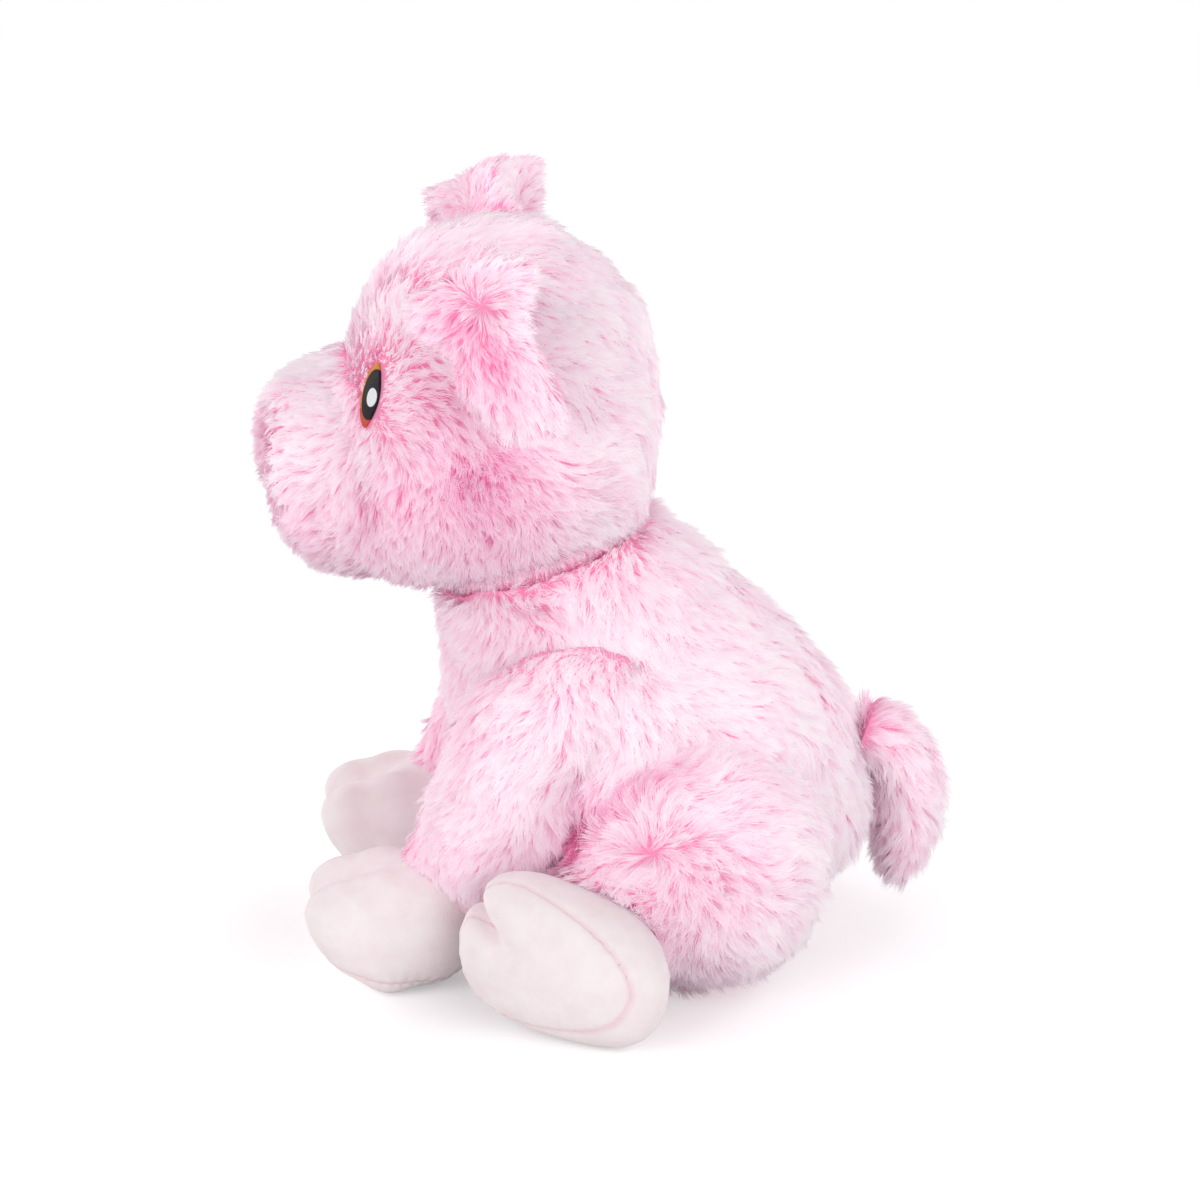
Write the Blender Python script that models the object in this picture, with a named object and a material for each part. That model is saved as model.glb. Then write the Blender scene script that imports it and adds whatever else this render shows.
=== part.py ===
"""Seated plush pig: stuffed torso, head with snout and ears, four hoofed legs and a hanging tail.

The pig faces -Y, its left side is +X, and the floor is z = 0. Every cover is a sewn shell with its
stuffing inside as a solid of its own. Forms are swelling tubes: each station of a form is a ring
drawn between two outline points, and a smaller form is cut by the larger one that it sits against.
"""
import math

import bmesh
import bpy
from mathutils import Matrix, Vector

# Driving sizes in metres
TORSO_LENGTH = 0.140
TORSO_WIDTH = 0.104
TORSO_HEIGHT = 0.130
NECK_RADIUS = 0.036
NECK_DOME_DROP = 0.040
NECK_OPENING_RADIUS = 0.031
NECK_WAD_THICKNESS = 0.012
BEAN_BAG_HEIGHT = 0.032

HEAD_LENGTH = 0.096
HEAD_WIDTH = 0.107
HEAD_HEIGHT = 0.114
SNOUT_LENGTH = 0.030
SNOUT_WIDTH = 0.058
SNOUT_HEIGHT = 0.052
SNOUT_DISC_THICKNESS = 0.006
EYE_WIDTH = 0.017
EYE_HEIGHT = 0.021
NOSTRIL_WIDTH = 0.007
NOSTRIL_HEIGHT = 0.011
EMBROIDERY_THICKNESS = 0.0012

EAR_SPREAD = 0.032
EAR_WIDTH = 0.046
EAR_DROP = 0.040
EAR_THICKNESS = 0.009

LEG_DEPTH = 0.050
LEG_WIDTH = 0.044
THIGH_RADIUS = 0.0425
THIGH_WIDTH = 0.062
SHIN_RADIUS = 0.020

FRONT_HOOF_LENGTH = 0.056
FRONT_HOOF_WIDTH = 0.044
FRONT_HOOF_HEIGHT = 0.043
HIND_HOOF_LENGTH = 0.068
HIND_HOOF_WIDTH = 0.048
HIND_HOOF_HEIGHT = 0.036
SOLE_HEIGHT = 0.007
CLEFT_LENGTH = 0.009
CLEFT_WIDTH = 0.004

TAIL_DEPTH = 0.040
TAIL_LENGTH = 0.062
TAIL_WIDTH = 0.023

PILE_WALL = 0.0045
VELOUR_WALL = 0.0022
ANKLE_OPENING_RADIUS = 0.012
GAP = 0.0003
RUNNING_GAP = 0.0007
FLAT_DEPTH = 0.0005
OVERRUN = 0.060
HALF_SPACE_SIZE = 0.60

# Angles in degrees
NECK_TILT = 17.3
HEAD_TURN_RANGE = (-20.0, 20.0)
HEAD_NOD_RANGE = (-8.0, 12.0)
EAR_RANGE = (-4.0, 35.0)
FRONT_LEG_RANGE = (0.0, 18.0)
HIND_LEG_RANGE = (0.0, 12.0)
HIP_SLANT = 25.0
TAIL_RANGE = (0.0, 30.0)
SWEEP_STEP = 13.0
EAR_LEAN = 17.0
SHARP_EDGE = 45.0

# Counts and shape numbers
TORSO_SECTORS = 20
HEAD_SECTORS = 22
LIMB_SECTORS = 14
DOME_RINGS = 3
BALL_SECTORS = 28
CUTTER_TURN_SHARE = 0.3
INNER_SECTOR_SHARE = 0.6
TORSO_SQUARENESS = 2.0
HEAD_SQUARENESS = 2.25
ROUND_SQUARENESS = 2.0
HOOF_SQUARENESS = 2.3
EAR_SQUARENESS = 2.6

# Rings: front y, front z, back y, back z, half width, as shares of the torso's three sizes
TORSO_SHARES = (
    (-0.057, 0.003, 0.257, 0.003, 0.250),
    (-0.157, 0.038, 0.357, 0.038, 0.365),
    (-0.236, 0.115, 0.471, 0.115, 0.442),
    (-0.286, 0.223, 0.557, 0.231, 0.475),
    (-0.321, 0.354, 0.598, 0.369, 0.485),
    (-0.343, 0.485, 0.590, 0.508, 0.481),
    (-0.357, 0.615, 0.550, 0.646, 0.462),
    (-0.364, 0.723, 0.457, 0.777, 0.438),
    (-0.371, 0.815, 0.329, 0.908, 0.410),
    (-0.371, 0.885, 0.214, 1.004, 0.375),
)
TORSO_SEAT_SHARE = 0.10
NECK_CENTRE_SHARE = -0.129

# Rings: top y, top z, bottom y, bottom z, half width, from the neck, as shares of the head's sizes
HEAD_SHARES = (
    (0.372, 0.550, 0.372, 0.215, 0.224),
    (0.310, 0.715, 0.315, 0.088, 0.355),
    (0.177, 0.825, 0.167, 0.009, 0.436),
    (0.005, 0.917, 0.021, -0.053, 0.482),
    (-0.208, 0.925, -0.177, -0.079, 0.500),
    (-0.406, 0.877, -0.354, -0.075, 0.485),
    (-0.531, 0.781, -0.469, -0.070, 0.448),
    (-0.585, 0.675, -0.530, -0.070, 0.402),
    (-0.642, 0.579, -0.600, -0.061, 0.315),
)
HEAD_BACK_SHARES = (0.388, 0.390)
SNOUT_BASE_SHARES = (-0.625, 0.259)
SNOUT_SHARES = (
    (-0.400, 0.606, -0.167, -0.683, 0.552),
    (-0.700, 0.519, -0.367, -0.625, 0.517),
    (-0.917, 0.394, -0.517, -0.548, 0.474),
    (-0.967, 0.202, -0.667, -0.394, 0.310),
)
SNOUT_TIP_SHARES = (-0.893, -0.106)
SNOUT_SEAM_SHARE = 0.20
EYE_SHARES = (0.327, -0.585, 0.510)
EYE_DIRECTION = (0.42, -0.90, 0.10)
NOSTRIL_SHARES = (0.180, 0.000)

# Rings: x, y, z of the centre and half width, from the ear's root, as shares of the ear's sizes
EAR_SHARES = (
    (0.02, -0.01, 0.05, 0.400),
    (0.19, 0.03, 0.19, 0.390),
    (0.47, 0.03, 0.29, 0.360),
    (0.75, -0.05, 0.21, 0.440),
    (0.906, -0.075, 0.0, 0.450),
    (0.970, 0.02, -0.30, 0.350),
    (0.984, 0.130, -0.60, 0.239),
    (0.970, 0.200, -0.85, 0.152),
)
EAR_ROOT_SHARES = (0.330, -0.170, 0.842)

# Rings: front y, front z, back y, back z, half width, centre x, from the shoulder
FRONT_LEG_SHARES = (
    (-0.20, 1.200, 0.48, 1.200, 0.273, -0.068),
    (-0.52, 1.084, 0.62, 1.105, 0.432, -0.040),
    (-0.68, 0.926, 0.50, 0.968, 0.500, 0.000),
    (-0.78, 0.768, 0.34, 0.811, 0.523, 0.015),
    (-0.88, 0.632, 0.16, 0.653, 0.500, 0.010),
    (-0.96, 0.505, 0.03, 0.500, 0.466, 0.0),
    (-0.98, 0.421, -0.12, 0.337, 0.432, -0.023),
    (-0.90, 0.316, -0.28, 0.211, 0.341, -0.023),
)
FRONT_LEG_TOP_SHARES = (0.12, 1.253, -0.09)
FRONT_LEG_END_SHARES = (-0.60, 0.189, -0.023)
SHOULDER_SHARES = (0.397, -0.086, 0.731)
FRONT_HOOF_HEEL_SHARE = -0.48
FRONT_HOOF_INSET_SHARE = 0.03
LEG_PARTING_DIRECTION = (0.232, 0.863, -0.450)

# Rings of the thigh: distance from its middle and radius, as shares of half width and radius
THIGH_SHARES = (
    (-0.94, 0.36), (-0.75, 0.68), (-0.45, 0.90), (-0.12, 0.99),
    (0.20, 0.98), (0.50, 0.87), (0.75, 0.66), (0.93, 0.37),
)
HIP_SHARES = (0.430, 0.215)
SHIN_END_SHARE = 0.70
FILL_CORE_SHARE = 0.70
HIND_HOOF_PLACE_SHARES = (1.16, -0.93)
HIND_TOE_DIRECTION = (-0.27, -0.93, 0.24)
HIND_SOLE_DIRECTION = (0.91, -0.41, -0.08)

# Rings of a hoof: place from heel to toe, underside, top, half width, as shares of its sizes
HOOF_SHARES = (
    (0.05, 0.12, 0.60, 0.24),
    (0.15, 0.02, 0.84, 0.38),
    (0.30, 0.00, 0.98, 0.455),
    (0.45, 0.00, 1.00, 0.490),
    (0.60, 0.00, 1.00, 0.500),
    (0.75, 0.05, 0.96, 0.485),
    (0.88, 0.17, 0.86, 0.420),
    (0.96, 0.33, 0.74, 0.290),
)
HOOF_HEEL_SHARE = 0.33
HOOF_TOE_SHARE = 0.55

# Rings: outer y, outer z, inner y, inner z, half width, from the root, as shares of the tail's sizes
TAIL_SHARES = (
    (-0.15, 0.145, -0.15, -0.145, 0.350),
    (0.10, 0.210, -0.05, -0.130, 0.435),
    (0.375, 0.130, 0.075, -0.145, 0.478),
    (0.60, -0.030, 0.150, -0.210, 0.500),
    (0.70, -0.260, 0.175, -0.320, 0.500),
    (0.675, -0.484, 0.175, -0.484, 0.478),
    (0.55, -0.677, 0.175, -0.630, 0.390),
    (0.41, -0.780, 0.225, -0.734, 0.240),
)
TAIL_START_SHARES = (-0.25, 0.0)
TAIL_TIP_SHARES = (0.30, -0.79)
TAIL_ROOT_SHARES = (0.586, 0.508)


for leftover in list(bpy.data.objects):
    bpy.data.objects.remove(leftover)


def finish_material(name, red, green, blue, roughness):
    """A plain fabric colour for one kind of cloth or thread."""
    made = bpy.data.materials.new(name)
    made.use_nodes = True
    shader = made.node_tree.nodes["Principled BSDF"]
    shader.inputs["Base Color"].default_value = (red, green, blue, 1.0)
    shader.inputs["Roughness"].default_value = roughness
    shader.inputs["Metallic"].default_value = 0.0
    made.diffuse_color = (red, green, blue, 1.0)
    return made


PINK_PILE = finish_material("pink_pile", 0.93, 0.66, 0.78, 0.95)
PALE_VELOUR = finish_material("pale_velour", 0.90, 0.74, 0.76, 0.90)
FIBRE_FILL = finish_material("fibre_fill", 0.90, 0.90, 0.88, 1.0)
PELLET_POUCH = finish_material("pellet_pouch", 0.80, 0.80, 0.76, 0.85)
EYE_THREAD = finish_material("eye_thread", 0.05, 0.03, 0.03, 0.60)
NOSTRIL_THREAD = finish_material("nostril_thread", 0.72, 0.36, 0.48, 0.70)


def as_object(name, shape):
    """Turns a bmesh into an object of the scene."""
    bmesh.ops.recalc_face_normals(shape, faces=shape.faces)
    mesh = bpy.data.meshes.new(name)
    shape.to_mesh(mesh)
    shape.free()
    made = bpy.data.objects.new(name, mesh)
    bpy.context.scene.collection.objects.link(made)
    return made


def ring(shape, centre, across, along, half_across, half_along, sectors, squareness):
    """One closed ring of a form, drawn in the plane of its two directions."""
    made = bmesh.ops.create_circle(shape, cap_ends=False, segments=sectors, radius=1.0)
    power = 2.0 / squareness
    for point in made["verts"]:
        x, y = point.co.x, point.co.y
        bulge_x = math.copysign(abs(x) ** power, x)
        bulge_y = math.copysign(abs(y) ** power, y)
        point.co = centre + across * (bulge_x * half_across) + along * (bulge_y * half_along)
    return list({edge for point in made["verts"] for edge in point.link_edges})


def swelling(rings, start, end, sectors, squareness, grow):
    """A closed form through rings of (centre, across, along, half across, half along)."""
    shape = bmesh.new()
    if grow < 0:
        sectors = 2 * round(sectors * INNER_SECTOR_SHARE / 2)
    loops = [ring(shape, *place, sectors, squareness) for place in rings]
    for before, after in zip(loops, loops[1:]):
        bmesh.ops.bridge_loops(shape, edges=before + after)
    for loop, pole in ((loops[0], start), (loops[-1], end)):
        cap = bmesh.ops.contextual_create(shape, geom=loop)["faces"]
        bmesh.ops.poke(shape, faces=cap)["verts"][0].co = pole
    bmesh.ops.triangulate(shape, faces=[face for face in shape.faces if len(face.verts) > 3])
    bmesh.ops.recalc_face_normals(shape, faces=shape.faces)
    shape.normal_update()
    if grow:
        moves = [(point, point.normal * grow) for point in shape.verts]
        for point, move in moves:
            point.co += move
    return as_object("form", shape)


def side_ring(front_y, front_z, back_y, back_z, half_width, centre_x=0.0):
    """A ring between two points of the side outline."""
    front = Vector((centre_x, front_y, front_z))
    back = Vector((centre_x, back_y, back_z))
    along = back - front
    return (front + back) / 2, Vector((1, 0, 0)), along.normalized(), half_width, along.length / 2


def ball(centre, radius):
    """A round cutter whose flats still lie outside the radius."""
    shape = bmesh.new()
    outside = radius / math.cos(math.pi / BALL_SECTORS) ** 2
    bmesh.ops.create_uvsphere(shape, u_segments=BALL_SECTORS, v_segments=BALL_SECTORS // 2, radius=outside)
    off_plane = Matrix.Rotation(CUTTER_TURN_SHARE * math.tau / BALL_SECTORS, 4, "Z")
    bmesh.ops.transform(shape, verts=shape.verts, matrix=Matrix.Translation(centre) @ off_plane)
    return as_object("ball", shape)


def rod(base, direction, radius, length, sectors=LIMB_SECTORS, stretch=1.0):
    """A round or oval cutter that starts at a point and runs along a direction."""
    shape = bmesh.new()
    bmesh.ops.create_cone(shape, cap_ends=True, segments=sectors, radius1=radius, radius2=radius, depth=length)
    off_plane = Matrix.Rotation(CUTTER_TURN_SHARE * math.tau / sectors, 4, "Z")
    bmesh.ops.transform(shape, verts=shape.verts, matrix=Matrix.Translation((0, 0, length / 2)) @ off_plane)
    bmesh.ops.scale(shape, verts=shape.verts, vec=(1, stretch, 1))
    turn = Vector(direction).to_track_quat("Z", "Y").to_matrix().to_4x4()
    bmesh.ops.transform(shape, verts=shape.verts, matrix=Matrix.Translation(base) @ turn)
    return as_object("rod", shape)


def half_space(point, normal):
    """A block that fills the side of a plane towards which its normal points."""
    shape = bmesh.new()
    bmesh.ops.create_cube(shape, size=HALF_SPACE_SIZE)
    bmesh.ops.translate(shape, verts=shape.verts, vec=(0, 0, HALF_SPACE_SIZE / 2))
    turn = Vector(normal).to_track_quat("Z", "Y").to_matrix().to_4x4()
    bmesh.ops.transform(shape, verts=shape.verts, matrix=Matrix.Translation(point) @ turn)
    return as_object("half_space", shape)


def combine(target, other, operation="DIFFERENCE"):
    """Cuts, joins or intersects two forms, and uses the second one up."""
    step = target.modifiers.new("combine", "BOOLEAN")
    step.object = other
    step.operation = operation
    step.solver = "EXACT"
    bpy.context.view_layer.update()
    graph = bpy.context.evaluated_depsgraph_get()
    result = bpy.data.meshes.new_from_object(target.evaluated_get(graph))
    target.modifiers.clear()
    target.data = result
    bpy.data.objects.remove(other)
    return target


def turned(form, matrix):
    """The same form after a turn."""
    form.data.transform(matrix)
    return form


def hinge_turn(pivot, axis, degrees):
    """The matrix of a turn about a hinge."""
    about = Matrix.Rotation(math.radians(degrees), 4, Vector(axis))
    return Matrix.Translation(pivot) @ about @ Matrix.Translation(-Vector(pivot))


def sweep_angles(limits):
    """The angles at which a moving form is tested against its neighbour."""
    low, high = limits
    steps = max(1, math.ceil((high - low) / SWEEP_STEP))
    return [low + (high - low) * index / steps for index in range(steps + 1)]


def cut_by_sweep(form, make_neighbour, pivot, axis, limits):
    """Cuts a moving form by its neighbour, wherever the hinge lets it go."""
    for angle in sweep_angles(limits):
        combine(form, turned(make_neighbour(), hinge_turn(pivot, axis, -angle)))
    return form


def mirrored(form):
    """The right side's copy of a form of the left side."""
    shape = bmesh.new()
    shape.from_mesh(form.data)
    bmesh.ops.scale(shape, verts=shape.verts, vec=(-1, 1, 1))
    bmesh.ops.reverse_faces(shape, faces=shape.faces)
    mesh = bpy.data.meshes.new("mirrored")
    shape.to_mesh(mesh)
    shape.free()
    made = bpy.data.objects.new("mirrored", mesh)
    bpy.context.scene.collection.objects.link(made)
    return made


def pivot_empty(name, place):
    """The empty on a joint's axis that carries the pieces of one body."""
    made = bpy.data.objects.new(name, None)
    made.location = place
    made.empty_display_size = GAP
    bpy.context.scene.collection.objects.link(made)
    return made


def node(name, form, material, pivot):
    """Names a finished piece, gives it its cloth and hangs it on its body's empty."""
    form.name = name
    form.data.name = name
    form.data.materials.clear()
    form.data.materials.append(material)
    form.data.transform(Matrix.Translation(-pivot.location))
    form.parent = pivot
    form.data.shade_smooth()
    form.data.set_sharp_from_angle(angle=math.radians(SHARP_EDGE))
    return form


def both_sides(name, form, material, pivots):
    """Names a piece of the left side and its mirrored copy on the right."""
    right = mirrored(form)
    node(name + "_left", form, material, pivots[0])
    node(name + "_right", right, material, pivots[1])


# Places that the pieces share
NECK_AXIS = Vector((0, -math.sin(math.radians(NECK_TILT)), math.cos(math.radians(NECK_TILT))))
NECK_CENTRE = Vector((0, NECK_CENTRE_SHARE * TORSO_LENGTH, TORSO_HEIGHT))
NECK_PIVOT = NECK_CENTRE - NECK_AXIS * NECK_DOME_DROP
DOME_RADIUS = math.hypot(NECK_RADIUS, NECK_DOME_DROP)
SNOUT_BASE = NECK_CENTRE + Vector((0, SNOUT_BASE_SHARES[0] * HEAD_LENGTH, SNOUT_BASE_SHARES[1] * HEAD_HEIGHT))
SHOULDER = Vector((SHOULDER_SHARES[0] * TORSO_WIDTH, SHOULDER_SHARES[1] * TORSO_LENGTH,
                   SHOULDER_SHARES[2] * TORSO_HEIGHT))
HIP = Vector((HIP_SHARES[0] * TORSO_WIDTH, HIP_SHARES[1] * TORSO_LENGTH, THIGH_RADIUS - FLAT_DEPTH))
HIP_AXIS = Vector((-math.cos(math.radians(HIP_SLANT)), 0, math.sin(math.radians(HIP_SLANT))))
SHOULDER_AXIS = Vector((-1, 0, 0))
EAR_ROOT = NECK_CENTRE + Vector((EAR_ROOT_SHARES[0] * HEAD_WIDTH, EAR_ROOT_SHARES[1] * HEAD_LENGTH,
                                 EAR_ROOT_SHARES[2] * HEAD_HEIGHT))
EAR_AXIS = Vector((0, -1, 0))
TAIL_ROOT = Vector((0, TAIL_ROOT_SHARES[0] * TORSO_LENGTH, TAIL_ROOT_SHARES[1] * TORSO_HEIGHT))
TAIL_AXIS = Vector((1, 0, 0))
FLOOR = Vector((0, 0, 0))
DOWN = Vector((0, 0, -1))


def torso(grow=0.0):
    """The torso's form, with a round dome about the neck pivot under the head."""
    rings = [side_ring(front_y * TORSO_LENGTH, front_z * TORSO_HEIGHT, back_y * TORSO_LENGTH,
                       back_z * TORSO_HEIGHT, half * TORSO_WIDTH)
             for front_y, front_z, back_y, back_z, half in TORSO_SHARES]
    opening = math.atan2(NECK_RADIUS, NECK_DOME_DROP)
    back = NECK_AXIS.cross(Vector((-1, 0, 0)))
    for index in range(DOME_RINGS):
        angle = opening * (1 - index / DOME_RINGS)
        reach = DOME_RADIUS * math.sin(angle)
        centre = NECK_PIVOT + NECK_AXIS * (DOME_RADIUS * math.cos(angle))
        rings.append((centre, Vector((1, 0, 0)), back, reach, reach))
    seat = Vector((0, TORSO_SEAT_SHARE * TORSO_LENGTH, -FLAT_DEPTH))
    top = NECK_PIVOT + NECK_AXIS * DOME_RADIUS
    return swelling(rings, seat, top, TORSO_SECTORS, TORSO_SQUARENESS, grow)


def head(grow=0.0):
    """The head's form with its snout, from the back of the head to the snout's front."""
    rings = [side_ring(NECK_CENTRE.y + top_y * HEAD_LENGTH, NECK_CENTRE.z + top_z * HEAD_HEIGHT,
                       NECK_CENTRE.y + low_y * HEAD_LENGTH, NECK_CENTRE.z + low_z * HEAD_HEIGHT,
                       half * HEAD_WIDTH)
             for top_y, top_z, low_y, low_z, half in HEAD_SHARES]
    rings += [side_ring(SNOUT_BASE.y + top_y * SNOUT_LENGTH, SNOUT_BASE.z + top_z * SNOUT_HEIGHT,
                        SNOUT_BASE.y + low_y * SNOUT_LENGTH, SNOUT_BASE.z + low_z * SNOUT_HEIGHT,
                        half * SNOUT_WIDTH)
              for top_y, top_z, low_y, low_z, half in SNOUT_SHARES]
    back = NECK_CENTRE + Vector((0, HEAD_BACK_SHARES[0] * HEAD_LENGTH, HEAD_BACK_SHARES[1] * HEAD_HEIGHT))
    front = SNOUT_BASE + Vector((0, SNOUT_TIP_SHARES[0] * SNOUT_LENGTH, SNOUT_TIP_SHARES[1] * SNOUT_HEIGHT))
    return swelling(rings, back, front, HEAD_SECTORS, HEAD_SQUARENESS, grow)


def floor_cut(form):
    """Cuts a form flat where it stands on the floor."""
    return combine(form, half_space(FLOOR, DOWN))


def neck_zone(radius, dome):
    """The round space about the neck's axis, outside a ball about the neck pivot."""
    return combine(rod(NECK_PIVOT, NECK_AXIS, radius, DOME_RADIUS + OVERRUN, BALL_SECTORS),
                   ball(NECK_PIVOT, dome))


def build_torso(pivot):
    """Torso cover, the stuffing in its upper part and the pellet pouch in its seat."""
    inside = PILE_WALL + GAP
    pouch_top = Vector((0, 0, BEAN_BAG_HEIGHT))
    cover = combine(floor_cut(torso()), torso(-PILE_WALL))
    combine(cover, neck_zone(NECK_OPENING_RADIUS, DOME_RADIUS - NECK_WAD_THICKNESS - PILE_WALL))
    node("body_cover", cover, PINK_PILE, pivot)
    stuffing = combine(torso(-inside), half_space(pouch_top + Vector((0, 0, GAP)), DOWN))
    combine(stuffing, neck_zone(NECK_OPENING_RADIUS + GAP, DOME_RADIUS - NECK_WAD_THICKNESS - RUNNING_GAP))
    node("body_stuffing", stuffing, FIBRE_FILL, pivot)
    pouch = combine(torso(-inside), half_space(pouch_top, -DOWN))
    node("bean_pouch", pouch, PELLET_POUCH, pivot)


def build_neck(pivot):
    """The firm wad of fibre in the neck opening that carries the head."""
    wad = combine(torso(), rod(NECK_PIVOT, NECK_AXIS, NECK_OPENING_RADIUS - RUNNING_GAP,
                               DOME_RADIUS + OVERRUN, BALL_SECTORS), "INTERSECT")
    combine(wad, ball(NECK_PIVOT, DOME_RADIUS - NECK_WAD_THICKNESS))
    node("neck_wad", wad, FIBRE_FILL, pivot)


def snout_plane(table_row, forward):
    """A point and the forward normal of the plane through one of the snout's rings."""
    top_y, top_z, low_y, low_z, _ = table_row
    top = SNOUT_BASE + Vector((0, top_y * SNOUT_LENGTH, top_z * SNOUT_HEIGHT))
    low = SNOUT_BASE + Vector((0, low_y * SNOUT_LENGTH, low_z * SNOUT_HEIGHT))
    normal = (top - low).cross(Vector((-1, 0, 0))).normalized()
    return (top + low) / 2 + normal * forward, normal


def patch(form_at, lift, centre, direction, width, height):
    """An embroidered patch that lies on a form, seen along a direction."""
    spot = combine(form_at(lift + EMBROIDERY_THICKNESS), form_at(lift))
    start = Vector(centre) + Vector(direction).normalized() * OVERRUN / 2
    outline = rod(start, -Vector(direction), width / 2, OVERRUN, LIMB_SECTORS, height / width)
    return combine(spot, outline, "INTERSECT")


def build_head(pivot):
    """Head cover, snout tube and disc, their stuffing, and the embroidered eyes and nostrils."""
    inside = PILE_WALL + GAP
    base_point, base_normal = snout_plane(SNOUT_SHARES[0], -SNOUT_LENGTH * SNOUT_SEAM_SHARE)
    disc_point, disc_normal = snout_plane(SNOUT_SHARES[2], -SNOUT_DISC_THICKNESS / 2)
    shell = combine(head(), head(-PILE_WALL))
    combine(shell, half_space(base_point, base_normal))
    combine(shell, ball(NECK_PIVOT, DOME_RADIUS + RUNNING_GAP))
    node("head_cover", shell, PINK_PILE, pivot)
    tube = combine(head(), half_space(base_point + base_normal * GAP, base_normal), "INTERSECT")
    combine(tube, head(-PILE_WALL))
    combine(tube, half_space(disc_point, disc_normal))
    node("snout_tube", tube, PINK_PILE, pivot)
    disc = combine(head(), half_space(disc_point + disc_normal * GAP, disc_normal), "INTERSECT")
    node("snout_disc", disc, PINK_PILE, pivot)
    stuffing = combine(head(-inside), half_space(disc_point, disc_normal))
    combine(stuffing, ball(NECK_PIVOT, DOME_RADIUS + RUNNING_GAP))
    node("head_stuffing", stuffing, FIBRE_FILL, pivot)
    eye = NECK_CENTRE + Vector((EYE_SHARES[0] * HEAD_WIDTH, EYE_SHARES[1] * HEAD_LENGTH,
                                EYE_SHARES[2] * HEAD_HEIGHT))
    left_eye = patch(head, GAP, eye, EYE_DIRECTION, EYE_WIDTH, EYE_HEIGHT)
    both_sides("eye", left_eye, EYE_THREAD, (pivot, pivot))
    nostril = disc_point + Vector((NOSTRIL_SHARES[0] * SNOUT_WIDTH, 0, NOSTRIL_SHARES[1] * SNOUT_HEIGHT))
    left_nostril = patch(head, GAP, nostril, disc_normal, NOSTRIL_WIDTH, NOSTRIL_HEIGHT)
    both_sides("nostril", left_nostril, NOSTRIL_THREAD, (pivot, pivot))


def ear_layer(side):
    """One layer of the ear: an arch of cloth and fibre on the outer or the inner side of its middle."""
    thickness = (EAR_THICKNESS - GAP) / 2
    shift = side * (thickness + GAP) / 2
    places = [EAR_ROOT + Vector((x * EAR_SPREAD, y * EAR_WIDTH, z * EAR_DROP)) for x, y, z, _ in EAR_SHARES]
    lean = math.radians(EAR_LEAN)
    across = Vector((0, math.cos(lean), math.sin(lean)))
    rings = []
    for index, place in enumerate(places):
        before = places[max(0, index - 1)]
        after = places[min(len(places) - 1, index + 1)]
        outward = (after - before).cross(across).normalized()
        half = EAR_SHARES[index][3] * EAR_WIDTH
        rings.append((place + outward * shift, across, outward, half, thickness / 2))
    start = rings[0][0] + (rings[0][0] - rings[1][0]).normalized() * thickness
    end = rings[-1][0] + (rings[-1][0] - rings[-2][0]).normalized() * thickness
    return swelling(rings, start, end, LIMB_SECTORS, EAR_SQUARENESS, 0.0)


def build_ears(pivots):
    """Each ear is an outer panel and a lining, sewn together at the edge."""
    for name, side in (("ear_outer", 1), ("ear_lining", -1)):
        panel = ear_layer(side)
        cut_by_sweep(panel, lambda: head(RUNNING_GAP), EAR_ROOT, EAR_AXIS, EAR_RANGE)
        both_sides(name, panel, PINK_PILE, pivots)


def hoof(length, width, height, frame, grow=0.0):
    """A hoof's form: an egg from heel to toe with its sole underneath, split in two at the toe."""
    rings = []
    for run, low, top, half in HOOF_SHARES:
        low_point = Vector((0, -run * length, low * height))
        top_point = Vector((0, -run * length, top * height))
        middle = (low_point + top_point) / 2
        rings.append((middle, Vector((1, 0, 0)), Vector((0, 0, 1)), half * width, (top - low) * height / 2))
    heel = Vector((0, 0, HOOF_HEEL_SHARE * height))
    toe = Vector((0, -length, HOOF_TOE_SHARE * height))
    made = swelling(rings, heel, toe, LIMB_SECTORS, HOOF_SQUARENESS, grow)
    if grow <= 0:
        half_split = CLEFT_WIDTH / 2 - grow
        reach = CLEFT_LENGTH - grow
        split = rod(toe + Vector((0, 0, height)), DOWN, half_split, height * 2, LIMB_SECTORS, reach / half_split)
        combine(made, split)
    return turned(made, frame)


def front_hoof_frame():
    """Heel and sole of the front hoof: flat on the floor, toe forward."""
    heel_y = SHOULDER.y + FRONT_HOOF_HEEL_SHARE * LEG_DEPTH
    return Matrix.Translation((SHOULDER.x - LEG_WIDTH * FRONT_HOOF_INSET_SHARE, heel_y, -FLAT_DEPTH))


def hind_hoof_frame():
    """Heel and sole of the hind hoof: toe forward and up, sole turned outwards."""
    toe = Vector(HIND_TOE_DIRECTION).normalized()
    up = -Vector(HIND_SOLE_DIRECTION)
    up = (up - toe * up.dot(toe)).normalized()
    side = (-toe).cross(up).normalized()
    turn = Matrix((side, -toe, up)).transposed().to_4x4()
    middle = turn @ Vector((0, -HIND_HOOF_LENGTH / 2, HIND_HOOF_HEIGHT / 2))
    place = HIP + Vector((HIND_HOOF_PLACE_SHARES[0] * THIGH_WIDTH / 2, HIND_HOOF_PLACE_SHARES[1] * THIGH_RADIUS, 0))
    trial = hoof(HIND_HOOF_LENGTH, HIND_HOOF_WIDTH, HIND_HOOF_HEIGHT, turn)
    lowest = min(point.co.z for point in trial.data.vertices)
    bpy.data.objects.remove(trial)
    return Matrix.Translation((place.x - middle.x, place.y - middle.y, -FLAT_DEPTH - lowest)) @ turn


HIND_FRAME = hind_hoof_frame()
FRONT_FRAME = front_hoof_frame()


def front_hoof(grow=0.0):
    """The left front hoof."""
    return hoof(FRONT_HOOF_LENGTH, FRONT_HOOF_WIDTH, FRONT_HOOF_HEIGHT, FRONT_FRAME, grow)


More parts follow.
